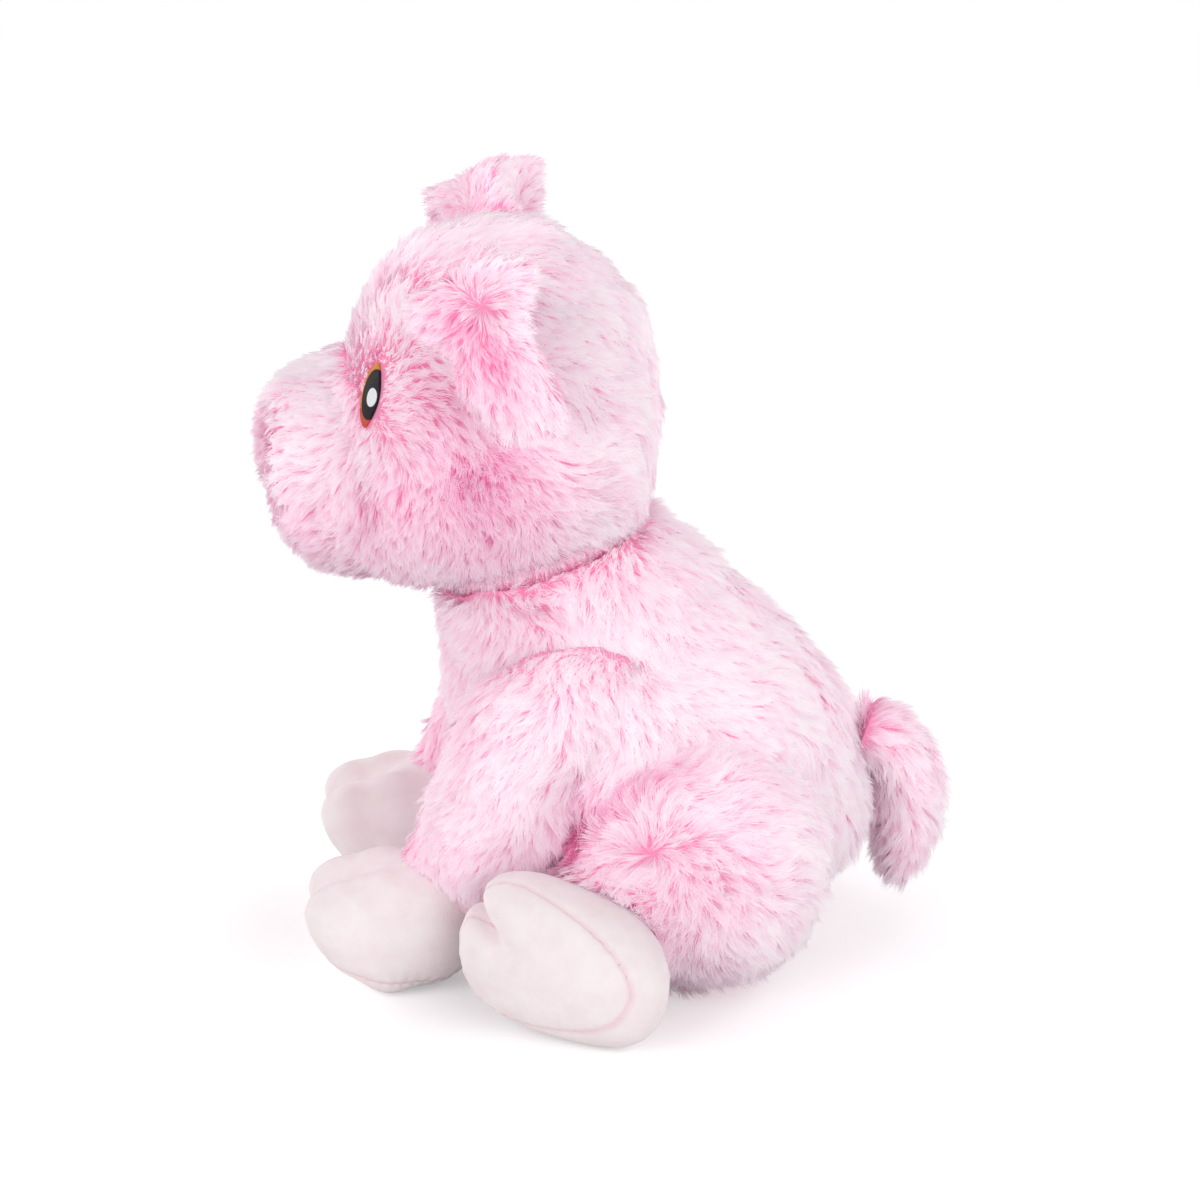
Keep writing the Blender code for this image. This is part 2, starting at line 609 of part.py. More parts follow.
def hind_hoof(grow=0.0):
    """The left hind hoof."""
    return hoof(HIND_HOOF_LENGTH, HIND_HOOF_WIDTH, HIND_HOOF_HEIGHT, HIND_FRAME, grow)


def shin(grow=0.0):
    """The short stretch from the left thigh's middle into the top of its hoof."""
    end = HIND_FRAME @ Vector((0, -HIND_HOOF_LENGTH / 2, HIND_HOOF_HEIGHT * SHIN_END_SHARE))
    return rod(HIP, end - HIP, SHIN_RADIUS + grow, (end - HIP).length)


def thigh(grow=0.0):
    """The left hind leg's round thigh with its shin."""
    rings = [(HIP + Vector((along * THIGH_WIDTH / 2, 0, 0)), Vector((0, 1, 0)), Vector((0, 0, 1)),
              radius * THIGH_RADIUS, radius * THIGH_RADIUS) for along, radius in THIGH_SHARES]
    inner = HIP - Vector((THIGH_WIDTH / 2, 0, 0))
    outer = HIP + Vector((THIGH_WIDTH / 2, 0, 0))
    form = swelling(rings, inner, outer, LIMB_SECTORS, ROUND_SQUARENESS, grow)
    return combine(form, shin(grow), "UNION")


def front_leg(grow=0.0):
    """The left front leg from the shoulder to the ankle."""
    rings = [side_ring(SHOULDER.y + front_y * LEG_DEPTH, front_z * SHOULDER.z, SHOULDER.y + back_y * LEG_DEPTH,
                       back_z * SHOULDER.z, half * LEG_WIDTH, SHOULDER.x + middle * LEG_WIDTH)
             for front_y, front_z, back_y, back_z, half, middle in FRONT_LEG_SHARES]
    poles = [Vector((SHOULDER.x + x * LEG_WIDTH, SHOULDER.y + y * LEG_DEPTH, z * SHOULDER.z))
             for y, z, x in (FRONT_LEG_TOP_SHARES, FRONT_LEG_END_SHARES)]
    return swelling(rings, poles[0], poles[1], LIMB_SECTORS, ROUND_SQUARENESS, grow)


def cut_hind(form, clear):
    """Cuts a part of the hind leg by the torso, wherever the hip lets it go."""
    return cut_by_sweep(form, lambda: torso(clear), HIP, HIP_AXIS, HIND_LEG_RANGE)


def thigh_side(clear):
    """The block behind the flat on which the front leg and the left thigh press each other."""
    normal = Vector(LEG_PARTING_DIRECTION).normalized()
    trial = thigh()
    reach = min(normal.dot(point.co) for point in trial.data.vertices)
    bpy.data.objects.remove(trial)
    return half_space(normal * (reach - clear), normal)


def cut_front(form, clear):
    """Cuts a part of the front leg by the torso and by the hind leg's thigh and hoof."""
    combine(form, thigh_side(clear))
    cut_by_sweep(form, lambda: torso(clear), SHOULDER, SHOULDER_AXIS, FRONT_LEG_RANGE)
    for neighbour in (thigh, hind_hoof):
        for angle in sweep_angles(HIND_LEG_RANGE):
            combine(form, turned(neighbour(clear), hinge_turn(HIP, HIP_AXIS, angle)))
    return form


def middle_of(form):
    """The middle of a trial form's points, which uses the form up."""
    middle = sum((point.co for point in form.data.vertices), Vector()) / len(form.data.vertices)
    bpy.data.objects.remove(form)
    return middle


def build_leg(name, limb, hoof_at, frame, cut, pivots):
    """One kind of leg: pile sleeve, velour hoof upper and sole, and the stuffing through both."""
    inside = PILE_WALL + GAP
    sole_up = frame.to_3x3() @ Vector((0, 0, 1))
    sole_point = frame @ Vector((0, 0, SOLE_HEIGHT))
    hoof_middle = middle_of(hoof_at())
    reach = middle_of(limb()) - hoof_middle

    def core(spare):
        return rod(hoof_middle, reach, ANKLE_OPENING_RADIUS - spare, reach.length * FILL_CORE_SHARE)

    sleeve = combine(cut(limb(), RUNNING_GAP), hoof_at(GAP))
    hollow = combine(cut(limb(-PILE_WALL), RUNNING_GAP + PILE_WALL), hoof_at(GAP + PILE_WALL))
    combine(sleeve, hollow)
    combine(sleeve, core(0.0))
    both_sides(name + "_sleeve", floor_cut(sleeve), PINK_PILE, pivots)

    upper = combine(hoof_at(), half_space(sole_point, -sole_up))
    combine(upper, hoof_at(-VELOUR_WALL))
    combine(upper, core(0.0))
    both_sides(name + "_hoof_upper", floor_cut(upper), PALE_VELOUR, pivots)

    sole = combine(hoof_at(), half_space(sole_point - sole_up * GAP, sole_up))
    combine(sole, hoof_at(-VELOUR_WALL))
    both_sides(name + "_hoof_sole", floor_cut(sole), PALE_VELOUR, pivots)

    stuffing = combine(limb(-inside), hoof_at(GAP + inside))
    stuffing = cut(combine(stuffing, core(GAP), "UNION"), RUNNING_GAP + inside)
    combine(stuffing, hoof_at(-VELOUR_WALL - GAP), "UNION")
    both_sides(name + "_stuffing", stuffing, FIBRE_FILL, pivots)


def tail(grow=0.0):
    """The hanging curl of the tail."""
    rings = [side_ring(TAIL_ROOT.y + out_y * TAIL_DEPTH, TAIL_ROOT.z + out_z * TAIL_LENGTH,
                       TAIL_ROOT.y + in_y * TAIL_DEPTH, TAIL_ROOT.z + in_z * TAIL_LENGTH, half * TAIL_WIDTH)
             for out_y, out_z, in_y, in_z, half in TAIL_SHARES]
    start = TAIL_ROOT + Vector((0, TAIL_START_SHARES[0] * TAIL_DEPTH, TAIL_START_SHARES[1] * TAIL_LENGTH))
    tip = TAIL_ROOT + Vector((0, TAIL_TIP_SHARES[0] * TAIL_DEPTH, TAIL_TIP_SHARES[1] * TAIL_LENGTH))
    return swelling(rings, start, tip, LIMB_SECTORS, ROUND_SQUARENESS, grow)


def build_tail(pivot):
    """Tail cover, open at its root, and the stuffing inside it."""
    cover = combine(tail(), tail(-PILE_WALL))
    cut_by_sweep(cover, lambda: torso(RUNNING_GAP), TAIL_ROOT, TAIL_AXIS, TAIL_RANGE)
    node("tail_cover", cover, PINK_PILE, pivot)
    stuffing = tail(-PILE_WALL - GAP)
    cut_by_sweep(stuffing, lambda: torso(RUNNING_GAP), TAIL_ROOT, TAIL_AXIS, TAIL_RANGE)
    node("tail_stuffing", stuffing, FIBRE_FILL, pivot)


def mirror_place(place):
    """The right side's place for a place of the left side."""
    return Vector((-place.x, place.y, place.z))


def side_pivots(name, place):
    """The two empties of a pair of limbs or ears."""
    return pivot_empty(name + "_left_pivot", place), pivot_empty(name + "_right_pivot", mirror_place(place))


build_torso(pivot_empty("torso_pivot", FLOOR))
build_neck(pivot_empty("neck_turn_pivot", NECK_PIVOT))
build_head(pivot_empty("head_nod_pivot", NECK_PIVOT))
build_ears(side_pivots("ear", EAR_ROOT))
build_leg("front_leg", front_leg, front_hoof, FRONT_FRAME, cut_front, side_pivots("front_leg", SHOULDER))
build_leg("hind_leg", thigh, hind_hoof, HIND_FRAME, cut_hind, side_pivots("hind_leg", HIP))
build_tail(pivot_empty("tail_pivot", TAIL_ROOT))
bpy.context.view_layer.update()
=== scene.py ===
"""Looks of the seated plush pig: long pink pile, velour hooves and embroidered eyes."""
import math

import bmesh
import bpy
import numpy as np
from mathutils import Matrix, Vector
from mathutils.bvhtree import BVHTree
from mathutils.geometry import intersect_point_line
from mathutils.kdtree import KDTree


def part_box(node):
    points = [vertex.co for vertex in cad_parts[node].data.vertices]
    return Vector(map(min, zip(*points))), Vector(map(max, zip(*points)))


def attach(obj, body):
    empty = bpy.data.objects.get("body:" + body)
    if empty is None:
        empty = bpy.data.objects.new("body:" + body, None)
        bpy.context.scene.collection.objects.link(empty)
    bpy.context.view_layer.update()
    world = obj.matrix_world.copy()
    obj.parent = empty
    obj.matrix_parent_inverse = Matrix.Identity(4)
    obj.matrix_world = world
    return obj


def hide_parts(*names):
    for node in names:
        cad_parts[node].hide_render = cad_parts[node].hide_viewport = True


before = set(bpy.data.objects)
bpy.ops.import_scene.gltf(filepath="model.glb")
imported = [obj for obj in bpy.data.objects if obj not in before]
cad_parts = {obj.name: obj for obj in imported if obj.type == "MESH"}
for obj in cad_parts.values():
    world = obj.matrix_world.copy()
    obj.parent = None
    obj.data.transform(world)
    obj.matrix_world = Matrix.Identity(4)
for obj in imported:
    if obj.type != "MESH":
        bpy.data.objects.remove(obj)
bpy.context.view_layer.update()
MM = 0.001


# Torso backing. The toy is sewn from a knitted pink polyester cloth, which the pile hides but for
# its shade: it is what glows a deep pink in the creases. The torso's skin is drawn in by the depth
# of the lying pile, but for the dome under the head, where the pile is trimmed short.
PILE_DEPTH = 3.2 * MM
SKIN_GRID = 1.6 * MM
SKIN_ROUNDING = 24
KNIT_LOOP = 0.7 * MM
NECK_PIVOT = Vector((0, -6.2, 91.8)) * MM
DOME_RADIUS = 54.5 * MM
DOME_MARGIN = 1.5 * MM
DOME_EDGE = math.radians(52)
DOME_DEPTH_SHARE = 0.3


def linear(hex_colour):
    """An sRGB hex colour as the linear values that a shader takes."""
    parts = [int(hex_colour[start:start + 2], 16) / 255 for start in (1, 3, 5)]
    straight = [part / 12.92 if part <= 0.04045 else ((part + 0.055) / 1.055) ** 2.4 for part in parts]
    return (*straight, 1.0)


def add_node(material, kind, links=None, **settings):
    """Adds one node: settings are its properties, links its sockets with a value or another node's socket."""
    tree = material.node_tree
    made = tree.nodes.new(kind)
    for name, value in settings.items():
        setattr(made, name, value)
    for name, value in (links or {}).items():
        if isinstance(value, bpy.types.NodeSocket):
            tree.links.new(value, made.inputs[name])
        else:
            made.inputs[name].default_value = value
    return made


def blank_material(name):
    """A material with nothing in it yet."""
    made = bpy.data.materials.new(name)
    made.use_nodes = True
    made.node_tree.nodes.clear()
    return made


def close_material(material, shader):
    """Joins a finished shader to the material's output."""
    add_node(material, "ShaderNodeOutputMaterial", {"Surface": shader.outputs[0]})
    return material


def make_backing():
    """Knitted polyester backing: matt, deep pink, with a fine loop that gives it a soft grain."""
    made = blank_material("knitted_polyester_backing")
    place = add_node(made, "ShaderNodeTexCoord")
    loops = add_node(made, "ShaderNodeTexNoise", {"Vector": place.outputs["Object"], "Scale": 1 / KNIT_LOOP})
    bump = add_node(made, "ShaderNodeBump", {
        "Height": loops.outputs["Fac"], "Strength": 0.5, "Distance": 0.3 * MM})
    shader = add_node(made, "ShaderNodeBsdfPrincipled", {
        "Base Color": linear("#fb9cc4"), "Roughness": 0.95, "Specular IOR Level": 0.1,
        "Normal": bump.outputs[0]})
    return close_material(made, shader)


BACKING = make_backing()


def world_copy(names):
    """One bmesh of the rest shapes of some nodes."""
    joined = bmesh.new()
    for name in names:
        joined.from_mesh(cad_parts[name].data)
    bmesh.ops.remove_doubles(joined, verts=joined.verts, dist=0.01 * MM)
    return joined


def smooth(shape, times):
    """Evens out a form's surface."""
    for _ in range(times):
        bmesh.ops.smooth_vert(shape, verts=shape.verts, factor=0.5,
                              use_axis_x=True, use_axis_y=True, use_axis_z=True)
    shape.normal_update()


def add_object(name, data):
    """Puts a mesh, lamp or camera in the scene under a name."""
    made = bpy.data.objects.new(name, data)
    bpy.context.scene.collection.objects.link(made)
    return made


def even_grid(shape, grid):
    """The same form as one closed outer skin of even faces. It uses the first form up."""
    mesh = bpy.data.meshes.new("form")
    shape.to_mesh(mesh)
    shape.free()
    trial = add_object("form", mesh)
    remesh = trial.modifiers.new("even_grid", "REMESH")
    remesh.mode = "VOXEL"
    remesh.voxel_size = grid
    even = bpy.data.meshes.new_from_object(trial.evaluated_get(bpy.context.evaluated_depsgraph_get()))
    bpy.data.objects.remove(trial)
    made = bmesh.new()
    made.from_mesh(even)
    left = set(made.verts)
    parts = []
    while left:
        ends, part = [left.pop()], []
        while ends:
            point = ends.pop()
            part.append(point)
            fresh = {edge.other_vert(point) for edge in point.link_edges} & left
            left -= fresh
            ends += fresh
        parts.append(part)
    for part in sorted(parts, key=len)[:-1]:
        bmesh.ops.delete(made, geom=part, context="VERTS")
    return made


def finish_piece(name, shape, material, body):
    """Makes a named piece of a bmesh, with its material, that rides on its body."""
    mesh = bpy.data.meshes.new(name)
    shape.to_mesh(mesh)
    shape.free()
    made = add_object(name, mesh)
    mesh.materials.append(material)
    mesh.shade_smooth()
    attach(made, body)
    return made


def stuffed_skin(name, body, nodes, sculpt=None, grid=SKIN_GRID, rounding=SKIN_ROUNDING, depth=PILE_DEPTH):
    """A stuffed form's skin: closed, rounded, drawn in, and standing for its nodes."""
    shape = even_grid(world_copy(nodes), grid)
    smooth(shape, rounding)
    for point, normal in [(point, point.normal.copy()) for point in shape.verts]:
        from_pivot = point.co - NECK_PIVOT
        apart = from_pivot.length
        on_dome = apart < DOME_RADIUS + DOME_MARGIN and from_pivot.z > apart * math.cos(DOME_EDGE)
        point.co -= normal * depth * (DOME_DEPTH_SHARE if on_dome else 1.0)
    if sculpt:
        sculpt(shape)
    smooth(shape, 3)
    skin = finish_piece(name, shape, BACKING, body)
    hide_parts(*nodes)
    return skin


def nudge(shape, place, move, reach):
    """Moves the part of a form round a place in mm, on either side, and less the further off it is."""
    centre, shift = Vector(place) * MM, Vector(move) * MM
    for point in shape.verts:
        side = -1 if point.co.x < 0 else 1
        apart = (Vector((abs(point.co.x), point.co.y, point.co.z)) - centre).length
        share = math.exp(-(apart / (reach * MM)) ** 2)
        point.co += Vector((shift.x * side * min(1.0, abs(point.co.x) / (4 * MM)), shift.y, shift.z)) * share


def sculpt_torso(shape):
    """The flank swells out to the legs, and the rump behind is full."""
    nudge(shape, (49, 9, 88), (9, 0, 0), 20)
    nudge(shape, (47, -6, 108), (4, 0, 0), 14)
    nudge(shape, (50, 0, 62), (10, 0, 0), 13)
    nudge(shape, (46, 58, 84), (4, 0, 0), 18)
    nudge(shape, (0, 84, 52), (0, 3.2, 0), 30)
    nudge(shape, (14, 78, 34), (0, 5, 0), 18)


torso_skin = stuffed_skin("torso_backing", "torso", ["body_cover", "body_stuffing", "bean_pouch"],
                          sculpt=sculpt_torso)


# Torso pile. Each cloth carries a long polyester pile, about 9 mm, brushed so that it lies one way
# on each panel, and gathers in tufts. It is paler at its tips than at its roots: the deep pink
# towards the roots is painted shade of the pile's depth. Every strand is a thin tapering blade,
# rooted in the skin and combed along the strokes of its panel.
PILE_LENGTH = 9.0 * MM
# A real fibre is about a tenth as wide: it is drawn coarser, so that it shows
STRAND_WIDTH = 0.30 * MM
PILE_DENSITY = 3.4 / MM ** 2
TUFT_SPACING = 1.7 * MM
TUFT_PULL = 0.55
TUFT_REACH = 2.6 * MM
CROWD_REACH = 4.0 * MM
CROWDED_SHARE = 0.5
PIECE_STRANDS = 64000
FLOOR_CLEARANCE = 0.3 * MM
COVERS = {
    "torso": ("body_cover",),
    "head": ("head_cover", "snout_tube", "snout_disc"),
    "ear_left": ("ear_outer_left", "ear_lining_left"),
    "ear_right": ("ear_outer_right", "ear_lining_right"),
    "front_leg_left": ("front_leg_sleeve_left",),
    "front_leg_right": ("front_leg_sleeve_right",),
    "hind_leg_left": ("hind_leg_sleeve_left",),
    "hind_leg_right": ("hind_leg_sleeve_right",),
    "tail": ("tail_cover",),
}
# Strokes of the brush: place in mm, direction, stand in degrees, share of the length, depth of painted shade
TORSO_STROKES = (
    ((0, -50, 100), (0.0, -0.3, -1.0), 26, 0.9, 0.35),
    ((15, -45, 114), (0.1, -0.4, -0.2), 40, 0.9, 0.28),
    ((30, -45, 90), (0.3, -0.2, -1.0), 26, 0.9, 0.30),
    ((0, -50, 65), (0.0, -0.2, -1.0), 26, 0.9, 0.30),
    ((0, 35, 130), (0.0, 0.75, -0.6), 22, 1.0, 0.0),
    ((25, 60, 105), (0.1, 0.65, -0.75), 22, 1.0, 0.0),
    ((0, 82, 75), (0.0, 0.3, -0.95), 22, 1.0, 0.04),
    ((42, 45, 100), (0.1, 0.8, -0.5), 24, 1.0, 0.06),
    ((48, -6, 118), (0.2, 0.0, -1.0), 26, 1.3, 0.12),
    ((44, 16, 114), (0.15, 0.3, -0.9), 24, 1.1, 0.08),
    ((35, -20, 128), (0.2, 0.2, -0.1), 40, 0.9, 0.32),
    ((52, 8, 98), (0.1, -0.2, -0.9), 30, 1.0, 0.12),
    ((56, 16, 80), (0.1, -0.2, -0.9), 28, 1.0, 0.10),
    ((48, 30, 100), (0.1, 0.7, -0.2), 26, 1.0, 0.06),
    ((30, 75, 40), (0.1, 0.4, -0.9), 22, 1.0, 0.06),
    ((0, 60, 8), (0.0, 0.8, -0.4), 22, 0.9, 0.30),
)
# The deep fold between the front leg and the thigh
LEG_FOLD = ((54, 29, 92), (60, 14, 76), (62, -2, 60), (58, -12, 44))
# Painted shade: the pile is drawn deeper pink along the fold and in the gap between the legs below it: line,
# width in mm, depth
FOLD_PAINTED_SHADE = ((LEG_FOLD, 5.0, 0.7), (((50, 2, 64), (46, -12, 44)), 9.0, 0.8))


def make_pile():
    """Brushed polyester pile: soft and matt, nearly white at its tips and deep pink towards its roots in
    painted shade of the pile's depth, with a deeper ramp of painted shade mixed in.
    """
    made = blank_material("brushed_polyester_pile")
    place = add_node(made, "ShaderNodeUVMap", uv_map="OFBake")
    parts = add_node(made, "ShaderNodeSeparateXYZ", {"Vector": place.outputs["UV"]})
    plain = add_node(made, "ShaderNodeValToRGB", {"Fac": parts.outputs["Y"]})
    painted_shade_ramp = add_node(made, "ShaderNodeValToRGB", {"Fac": parts.outputs["Y"]})
    for ramp, stops in ((plain, ((0.0, "#ffd6eb"), (0.45, "#fff0f8"), (1.0, "#ffffff"))),
                        (painted_shade_ramp, ((0.0, "#f047a0"), (0.45, "#f88ec6"), (1.0, "#ffe8f6")))):
        for index, (position, colour) in enumerate(stops):
            stop = ramp.color_ramp.elements[index] if index < 2 else ramp.color_ramp.elements.new(position)
            stop.position = position
            stop.color = linear(colour)
    # The first UV axis mixes in the ramp of painted shade, with a random tone
    mix = add_node(made, "ShaderNodeMix", {"Factor": parts.outputs["X"]}, data_type="RGBA")
    made.node_tree.links.new(plain.outputs["Color"], mix.inputs[6])
    made.node_tree.links.new(painted_shade_ramp.outputs["Color"], mix.inputs[7])
    shader = add_node(made, "ShaderNodeBsdfPrincipled", {
        "Base Color": mix.outputs[2], "Roughness": 0.8, "Specular IOR Level": 0.15})
    return close_material(made, shader)


PILE = make_pile()


def unit(vectors):
    """The same vectors, one metre long."""
    return vectors / np.maximum(np.linalg.norm(vectors, axis=1), 1e-9)[:, None]


def sample_skin(skin, density, chance):
    """Even random roots on a skin: places and normals."""
    mesh = skin.data
    mesh.calc_loop_triangles()
    corners = np.empty(len(mesh.loop_triangles) * 3, np.int32)
    mesh.loop_triangles.foreach_get("vertices", corners)
    corners = corners.reshape(-1, 3)
    points, normals = (np.empty(len(mesh.vertices) * 3, np.float32) for _ in range(2))
    mesh.vertices.foreach_get("co", points)
    mesh.vertices.foreach_get("normal", normals)
    points = points.reshape(-1, 3).astype(np.float64)
    normals = normals.reshape(-1, 3).astype(np.float64)
    first, second, third = (points[corners[:, index]] for index in range(3))
    areas = np.linalg.norm(np.cross(second - first, third - first), axis=1) / 2
    count = int(areas.sum() * density)
    pick = np.searchsorted(np.cumsum(areas) / areas.sum(), chance.random(count)).clip(0, len(areas) - 1)
    share = np.sort(chance.random((count, 2)), axis=1)
    weights = np.stack((share[:, 0], share[:, 1] - share[:, 0], 1 - share[:, 1]), axis=1)[:, :, None]
    return (points[corners[pick]] * weights).sum(axis=1), unit((normals[corners[pick]] * weights).sum(axis=1))


def waves(places, reach, seed, count=9):
    """A soft random field between about -1 and 1 that varies over a reach in metres."""
    chance = np.random.default_rng(seed)
    total = np.zeros(len(places))
    for _ in range(count):
        direction = unit(chance.normal(size=(1, 3)))[0]
        pitch = 2 * math.pi / reach * chance.uniform(0.7, 1.5)
        total += np.sin(places @ direction * pitch + chance.uniform(0, 2 * math.pi))
    return total / math.sqrt(count / 2)


def on_one_side(places):
    """The same places, with those on the toy's right side mirrored to its left."""
    return np.column_stack((np.abs(places[:, 0]), places[:, 1:]))


def combed(places, normals, strokes):
    """The combing direction, stand, length and painted shade at each place, blended from the nearest strokes.
    """
    side = np.where(places[:, 0] < 0, -1.0, 1.0)
    stroke_places = np.array([stroke[0] for stroke in strokes]) * MM
    directions = unit(np.array([stroke[1] for stroke in strokes], float))
    numbers = np.array([stroke[2:] for stroke in strokes], float)
    apart = np.linalg.norm(on_one_side(places)[:, None, :] - stroke_places[None, :, :], axis=2)
    weights = 1 / (apart + 3 * MM) ** 3
    weights /= weights.sum(axis=1)[:, None]
    flow = weights @ directions
    flow[:, 0] *= side
    flow -= normals * (flow * normals).sum(axis=1)[:, None]
    mixed = weights @ numbers
    return unit(flow), mixed[:, 0], mixed[:, 1], mixed[:, 2]


def gaps_to_line(places, line):
    """How far each place lies from a line of places in mm, on either side of the toy."""
    halved = on_one_side(places)
    ends = np.array(line, float) * MM
    nearest = np.full(len(places), 1.0)
    for start, end in zip(ends, ends[1:]):
        reach = end - start
        share = ((halved - start) @ reach / (reach @ reach)).clip(0, 1)
        nearest = np.minimum(nearest, np.linalg.norm(halved - start - share[:, None] * reach, axis=1))
    return nearest


def crowded(roots, facing, body):
    """Which roots have another cover close above them, so that little of their pile shows."""
    names = [name for other, covers in COVERS.items() if other != body for name in covers]
    around = world_copy(names)
    tree = BVHTree.FromBMesh(around)
    around.free()
    return np.array([tree.ray_cast(Vector(root), Vector(out), CROWD_REACH)[0] is not None
                     for root, out in zip(roots, facing)])


def pushed_out(points, trees, lift):
    """Moves points that lie in a closed form, or close over it, out to just above its surface."""
    for tree, low, high in trees:
        inside_box = np.all((points > low) & (points < high), axis=1).nonzero()[0]
        for index in inside_box:
            point = Vector(points[index])
            near, normal, _, _ = tree.find_nearest(point)
            if (point - near).dot(normal) < lift:
                points[index] = near + normal * lift
    return points


def pile_mesh(name, verts, normals, shade_and_tone):
    """One piece of pile: five corners, a quad and a triangle for each strand."""
    count = len(verts)
    corners = np.array([0, 1, 3, 2, 2, 3, 4])
    heights = np.array([0.01, 0.01, 0.5, 0.5, 0.99])
    mesh = bpy.data.meshes.new(name)
    mesh.vertices.add(count * 5)
    mesh.vertices.foreach_set("co", verts.astype(np.float32).ravel())
    mesh.loops.add(count * 7)
    strand = np.arange(count)[:, None]
    mesh.loops.foreach_set("vertex_index", (corners[None, :] + strand * 5).astype(np.int32).ravel())
    mesh.polygons.add(count * 2)
    starts = np.array([0, 4])[None, :] + strand * 7
    mesh.polygons.foreach_set("loop_start", starts.astype(np.int32).ravel())
    mesh.update(calc_edges=True)
    # The UV map holds each strand's painted shade and random tone across, and root to tip up
    sheet = np.stack((np.broadcast_to(shade_and_tone[:, None], (count, 7)),
                      np.broadcast_to(heights[corners], (count, 7))), axis=2)
    mesh.uv_layers.new(name="OFBake").data.foreach_set("uv", sheet.astype(np.float32).ravel())
    mesh.materials.append(PILE)
    mesh.polygons.foreach_set("use_smooth", np.ones(count * 2, bool))
    mesh.normals_split_custom_set_from_vertices(np.repeat(normals, 5, axis=0).astype(np.float32))
    return mesh


def grow_pile(name, skin, body, strokes, seed, keep=None, trim=None, out_of=(), painted_shade_lines=(),
              length=PILE_LENGTH):
    """Grows the pile of one skin, combed along its strokes and gathered in tufts."""
    chance = np.random.default_rng(seed)
    roots, facing = sample_skin(skin, PILE_DENSITY, chance)
    kept = keep(roots, facing) if keep else np.ones(len(roots), bool)
    roots, facing = roots[kept], facing[kept]
    kept = ~crowded(roots, facing, body) | (chance.random(len(roots)) < CROWDED_SHARE)
    roots, facing = roots[kept], facing[kept]
    tufts, tuft_facing = sample_skin(skin, 1 / TUFT_SPACING ** 2, chance)
    tree = KDTree(len(tufts))
    for index, tuft in enumerate(tufts):
        tree.insert(tuft, index)
    tree.balance()
    nearest = np.array([tree.find(root)[1] for root in roots])

    def lean(places, normals, wander):
        flow, stand, reach, shade = combed(places, normals, strokes)
        across = np.cross(normals, flow)
        loose = ((stand - 34) / 40).clip(0, 1)
        swirl = waves(places, 26 * MM, seed + 1) * 0.28 + wander[:, 0] * (0.32 + 1.4 * loose)
        heading = unit(flow * np.cos(swirl)[:, None] + across * np.sin(swirl)[:, None])
        angle = np.radians(np.clip(stand + wander[:, 1] * 6 + waves(places, 15 * MM, seed + 2) * 5, 6, 85))
        reach = reach * (trim(places) if trim else 1.0)
        # Painted shade: deeper pink along the creases, where shade falls
        for line, wide, painted_shade_depth in painted_shade_lines:
            shade = shade + painted_shade_depth * np.exp(-(gaps_to_line(places, line) / (wide * MM)) ** 2)
        return heading, angle, reach, shade

    def step(heading, normals, angle, long):
        return (heading * np.cos(angle)[:, None] + normals * np.sin(angle)[:, None]) * long[:, None]

    tuft_wander = chance.normal(size=(len(tufts), 2))
    tuft_heading, tuft_angle, tuft_reach, tuft_shade = lean(tufts, tuft_facing, tuft_wander)
    tuft_share = chance.uniform(0.85, 1.12, len(tufts))
    tuft_tip = tufts + step(tuft_heading, tuft_facing, tuft_angle, length * tuft_reach * tuft_share)
    tuft_shade_and_tone = tuft_shade + chance.normal(size=len(tufts)) * 0.10 + waves(tufts, 20 * MM, seed + 3) * 0.07

    wander = chance.normal(size=(len(roots), 2)) * 0.5 + tuft_wander[nearest] * 0.7
    heading, angle, reach, shade = lean(roots, facing, wander)
    long = length * reach * chance.uniform(0.72, 1.12, len(roots)) * tuft_share[nearest]
    start_angle = np.minimum(angle + math.radians(11), math.radians(86))
    end_angle = np.maximum(angle - math.radians(11), math.radians(2))
    middle = roots + step(heading, facing, start_angle, long * 0.46)
    tip = middle + step(heading, facing, end_angle, long * 0.54)
    gather = tuft_tip[nearest] - tip
    far = np.linalg.norm(gather, axis=1)
    pull = np.minimum(1, TUFT_REACH / np.maximum(far, 1e-9)) * TUFT_PULL
    gather *= (pull * chance.uniform(0.5, 1.2, len(roots)))[:, None]
    middle = pushed_out(middle + gather * 0.3, out_of, 0.3 * MM)
    tip = pushed_out(tip + gather, out_of, 0.5 * MM)

    flat = unit(np.cross(tip - roots, facing))
    lift = unit(np.cross(flat, tip - roots))
    roll = chance.normal(size=len(roots)) * math.radians(14)
    half = STRAND_WIDTH / 2 * chance.uniform(0.75, 1.25, len(roots))
    spread = (flat * np.cos(roll)[:, None] + lift * np.sin(roll)[:, None]) * half[:, None]
    base = roots - facing * 0.3 * MM
    foot = spread * 0.8
    verts = np.stack((base - foot, base + foot, middle - spread, middle + spread, tip), axis=1)
    verts[:, :, 2] = np.maximum(verts[:, :, 2], FLOOR_CLEARANCE)
    normals = unit(facing * 0.9 + lift * 0.25)
    # Painted shade and a random tone together set each strand's colour between the two ramps
    shade_and_tone = np.clip(0.5 * tuft_shade_and_tone[nearest] + 0.5 * shade + chance.normal(size=len(roots)) * 0.06, 0.01, 0.99)

    total = math.ceil(len(roots) / PIECE_STRANDS)
    for number in range(total):
        part = slice(number, None, total)
        label = name if total == 1 else f"{name}_{number + 1}"
        made = add_object(label, pile_mesh(label, verts[part], normals[part], shade_and_tone[part]))
        made.visible_shadow = False
        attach(made, body)


def torso_pile(roots, facing):
    """Leaves out the seat that nothing sees and the round patch under the head."""
    seat = (roots[:, 2] < 9 * MM) & (facing[:, 2] < -0.85)
    neck = (np.hypot(roots[:, 0], roots[:, 1] + 18 * MM) < 20 * MM) & (roots[:, 2] > 112 * MM)
    return ~(seat | neck)


grow_pile("torso_pile", torso_skin, "torso", TORSO_STROKES, 11, keep=torso_pile, painted_shade_lines=FOLD_PAINTED_SHADE)


